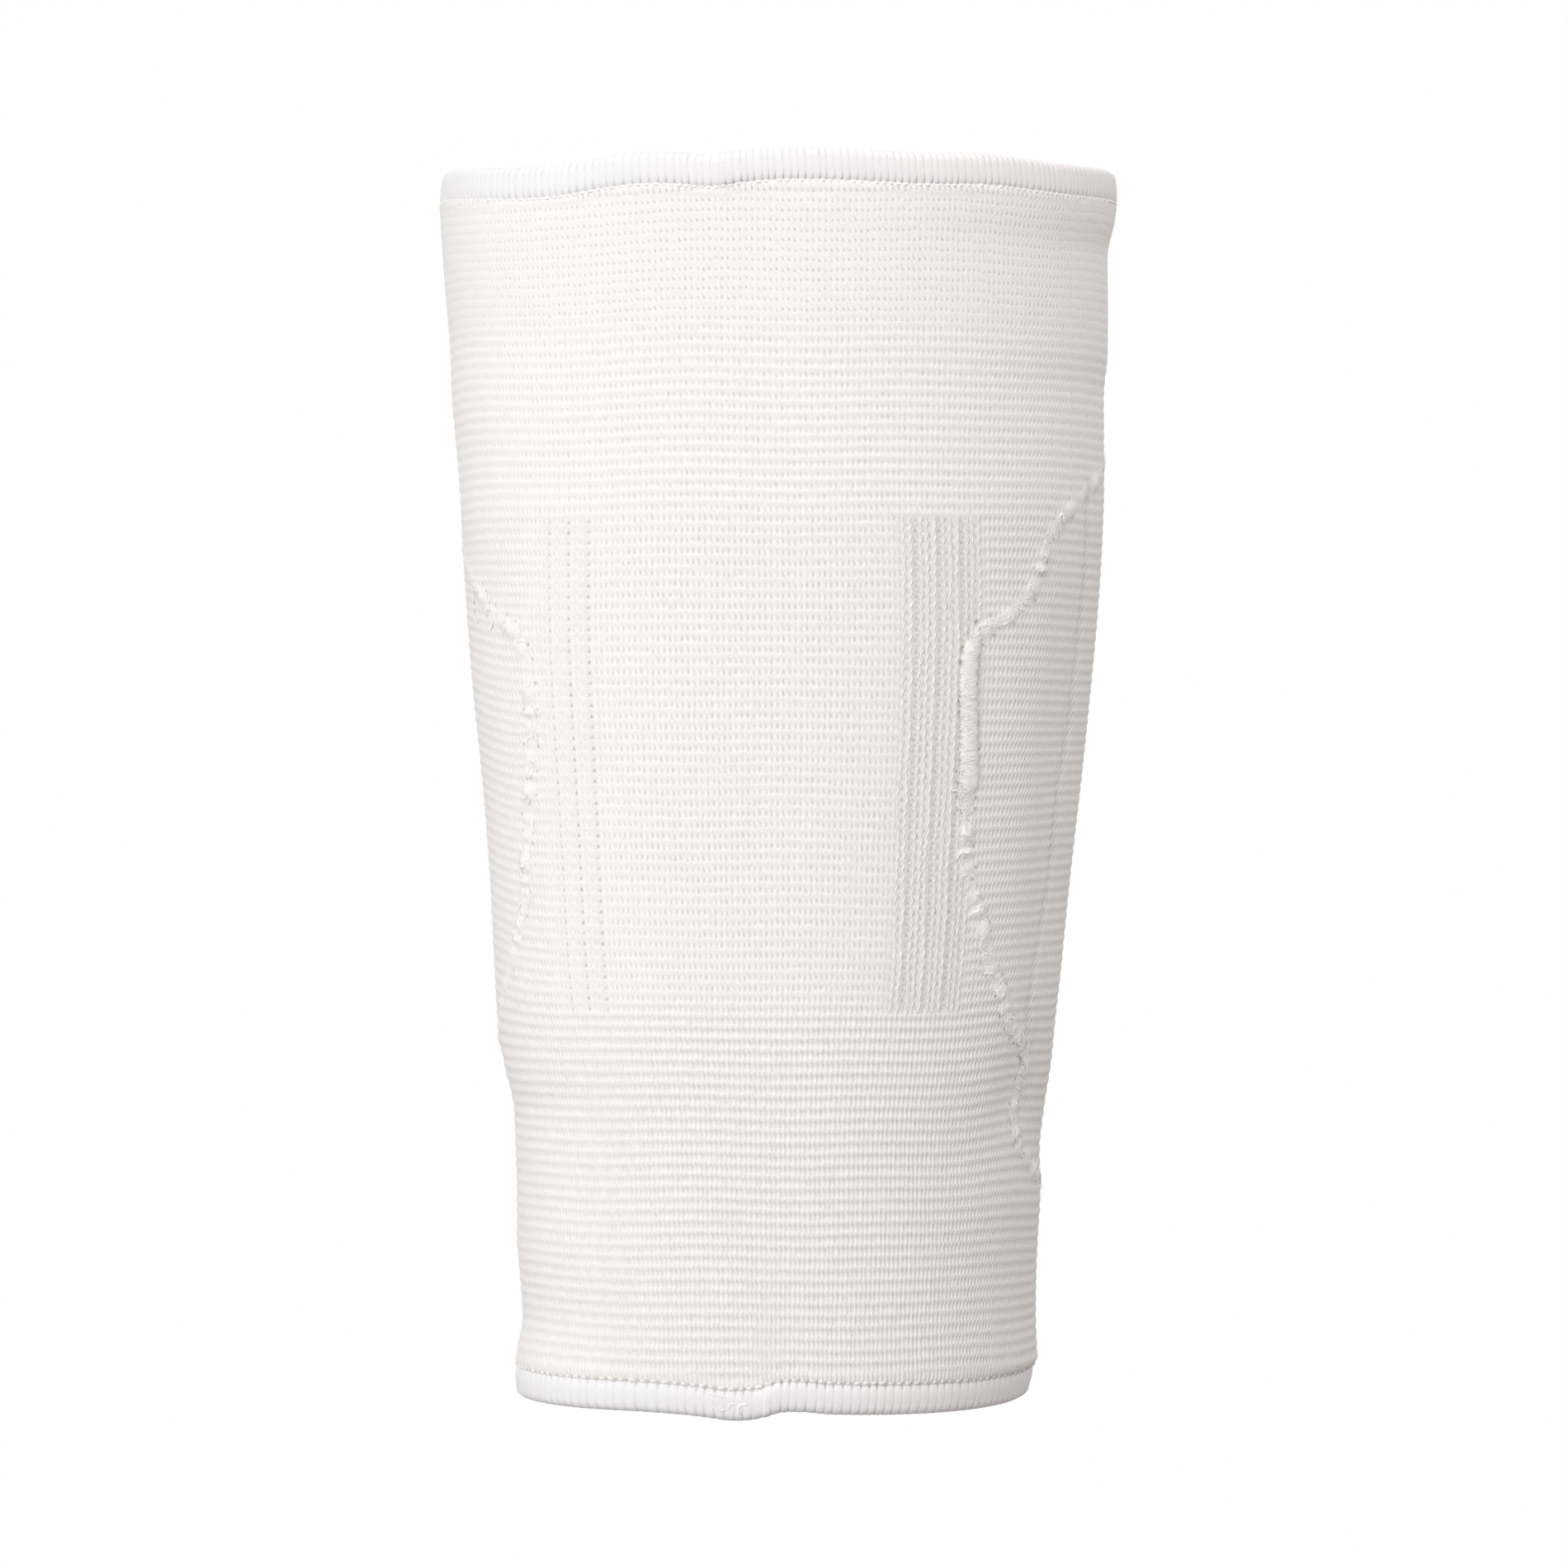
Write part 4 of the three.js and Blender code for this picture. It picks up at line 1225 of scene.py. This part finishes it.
def make_seam_yarn(material):
    """Overcast stitches across the seam's right side, each a bundle of loose filaments."""
    dice = np.random.default_rng(SEED + 54)
    first = np.arange(YARN_SPAN[0] * seam.length, YARN_SPAN[1] * seam.length, SEAM_STITCH / 2)
    along0 = np.repeat(first, YARN_FILAMENTS)
    leg = np.repeat(np.arange(len(first)) % 2, YARN_FILAMENTS)
    tuft = np.repeat(dice.uniform(0, 1, len(first)), YARN_FILAMENTS)
    here = seam.bulk_at(along0)
    kept = dice.uniform(0, 1, len(along0)) < smoothstep(here, 0.2, 0.9) * (0.35 + 1.1 * tuft) + 0.05
    along0, leg = along0[kept], leg[kept, None]
    count = len(along0)
    bulk = seam.bulk_at(along0)
    t = np.linspace(0, 1, 11)[None, :]
    reach = SEAM_WIDTH * (0.72 + 0.34 * bulk)
    out = (dice.uniform(0.75, 1.22, count) * reach)[:, None]
    back = (dice.uniform(0.75, 1.22, count) * reach)[:, None]
    side = (out * t - back * (1 - t)) * np.where(leg > 0, -1, 1)
    spread = dice.normal(0, 0.42, count)[:, None] * MM
    bow = dice.normal(0.25, 0.5, count)[:, None] * MM
    curl = dice.normal(0, 0.20, count)[:, None] * MM
    along = along0[:, None] + spread + (t - 0.5) * SEAM_STITCH * 0.55
    along = along + bow * np.sin(np.pi * t) + curl * np.sin(2 * np.pi * t)
    on_body = core_height(bulk) + dice.uniform(-0.03, 0.06, count) * MM
    top = np.maximum(on_body, dice.uniform(0.02, 0.14, count) * MM)
    arch = np.sin(np.pi * t) ** 0.5
    path, outward = seam.at(along, side, (top[:, None] + 0.12 * MM) * arch - 0.12 * MM)
    radii = dice.uniform(0.07, 0.12, count)[:, None] * MM * (0.55 + 0.45 * arch)
    return sewn_threads("seam_yarn_right", path, radii, outward, material, sides=5, flat=0.5)


def random_curls():
    """More bends, strewn over the seam where its yarn is loose but not bunched."""
    dice = np.random.default_rng(SEED + 60)
    rows = []
    for along in np.arange(0, seam.length, TUFT_PITCH):
        bulk = seam.bulk_at(along)
        luck = dice.uniform(0, 1)
        spot = int(along / seam.length * len(seam.along)) % len(seam.along)
        place = seam.at(along + dice.normal(0, 0.5) * MM, dice.normal(0, 0.7) * MM, 0.0)[0]
        turn = float(np.degrees(np.arctan2(place[0], -place[1])))
        if not TUFT_BULK[0] < bulk < TUFT_BULK[1] or (turn < 0 and luck > LEFT_TUFTS):
            continue
        size, tall, thick = dice.uniform(0.7, 1.7), dice.uniform(0.7, 1.4), dice.uniform(0.09, 0.16)
        start, sweep = dice.uniform(0, 360), dice.uniform(80, 200)
        rows.append((turn, seam.height[spot] / MM, size, tall, thick, start, sweep, 0))
    return table(CURL_COLUMNS, *rows)


def make_curls(material):
    """Bends of loose yarn that lie on the knit beside the seam."""
    steps = 13
    paths, outwards, radii = [], [], []
    swell = np.sin(np.linspace(0.25, np.pi - 0.25, steps))
    for curl in CURLS + random_curls():
        centre_turn, centre_height = curl["turn"], curl["height"] * MM
        radius = np.linalg.norm(wall.point(centre_turn, centre_height)[:2])
        angle = np.radians(np.linspace(curl["start"], curl["start"] + curl["sweep"], steps))
        turn = centre_turn + np.degrees(curl["size"] * MM * np.cos(angle) / radius)
        height = centre_height + curl["size"] * MM * np.sin(angle) * curl["tall"]
        for strand in range(CURL_STRANDS):
            apart = (strand - (CURL_STRANDS - 1) / 2) * curl["thick"] * 0.9 * MM
            strand_turn = turn + np.degrees(apart * np.cos(angle) / radius)
            strand_height = height + apart * np.sin(angle)
            along, side = seam.nearest(wall.point(strand_turn, strand_height))
            lift = seam_lift(along, side) + (0.10 * swell + curl["out"]) * MM
            paths.append(wall.lifted(strand_turn, strand_height, lift))
            outwards.append(wall.normal(turn, height))
            radii.append(curl["thick"] * MM * swell)
    return sewn_threads("seam_curls", paths, radii, outwards, material, sides=6, flat=0.45)


def make_hairs(material):
    """Fine loose hairs that stand off the seam."""
    dice = np.random.default_rng(SEED + 40)
    steps = 7
    along0 = dice.uniform(0, seam.length, HAIRS * 3)
    along0 = along0[dice.uniform(0, 1, HAIRS * 3) < seam.bulk_at(along0) ** 1.2][:HAIRS, None]
    count = len(along0)
    t = np.linspace(0, 1, steps)[None, :]
    length = dice.uniform(0.8, 2.6, count)[:, None] * MM
    heading = dice.uniform(0, 2 * np.pi, count)[:, None]
    curl = dice.normal(0, 1.6, count)[:, None]
    run = np.cumsum(np.cos(heading + curl * t), axis=1) * length / steps
    aside = np.cumsum(np.sin(heading + curl * t), axis=1) * length / steps
    side0 = dice.uniform(-1, 1, count)[:, None] * SEAM_WIDTH * 1.05
    arch = np.sin(np.pi * t) * dice.uniform(0.3, 1.1, count)[:, None]
    lift = (0.3 + 0.7 * seam.bulk_at(along0)) * MM * (0.35 + 0.75 * arch)
    path, outward = seam.at(along0 + run, side0 + aside, lift)
    radii = np.full(path.shape[:2], 0.055 * MM) * (1.1 - 0.6 * t)
    return sewn_threads("seam_hairs", path, radii, outward, material, sides=3)


def make_pad(material):
    """The foam in its lining: the frame's own form with its edges rounded off."""
    shape = bmesh.new()
    shape.from_mesh(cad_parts["knee_pad"].data)
    bmesh.ops.remove_doubles(shape, verts=shape.verts, dist=1e-5)
    bmesh.ops.join_triangles(
        shape, faces=shape.faces, angle_face_threshold=np.pi, angle_shape_threshold=np.pi
    )
    mesh = bpy.data.meshes.new("knee_pad_foam")
    shape.to_mesh(mesh)
    shape.free()
    pad = finish_mesh("knee_pad_foam", mesh, material)
    smooth = pad.modifiers.new("rounded", "SUBSURF")
    smooth.levels = 2
    smooth.render_levels = 2
    bpy.context.view_layer.objects.active = pad
    bpy.ops.object.modifier_apply(modifier=smooth.name)
    pad.data.shade_smooth()
    as_piece(pad, "knee_pad")


make_camera()
make_studio()
make_floor()

hem_yarn = yarn_material("hem_yarn", (0.862, 0.857, 0.860), (0.40, 0.38, 0.385))
hem_thread = strand_material("hem_thread", (0.90, 0.893, 0.882), (0.72, 0.69, 0.67))
seam_thread = strand_material("seam_thread", (0.97, 0.96, 0.945), (0.87, 0.845, 0.82))
ladder_thread = strand_material("ladder_thread", (0.90, 0.885, 0.865), (0.72, 0.68, 0.65))

sleeve = make_sleeve(knit_material())
carried = []
for hem in HEMS:
    carried += make_hem(hem, hem_yarn, hem_thread)
make_pad(lining_material())
carried.append(make_ladder_strands(ladder_thread))
carried.append(make_seam_core(seam_body_material()))
for make_threads in (make_seam_yarn, make_curls, make_hairs):
    carried.append(make_threads(seam_thread))
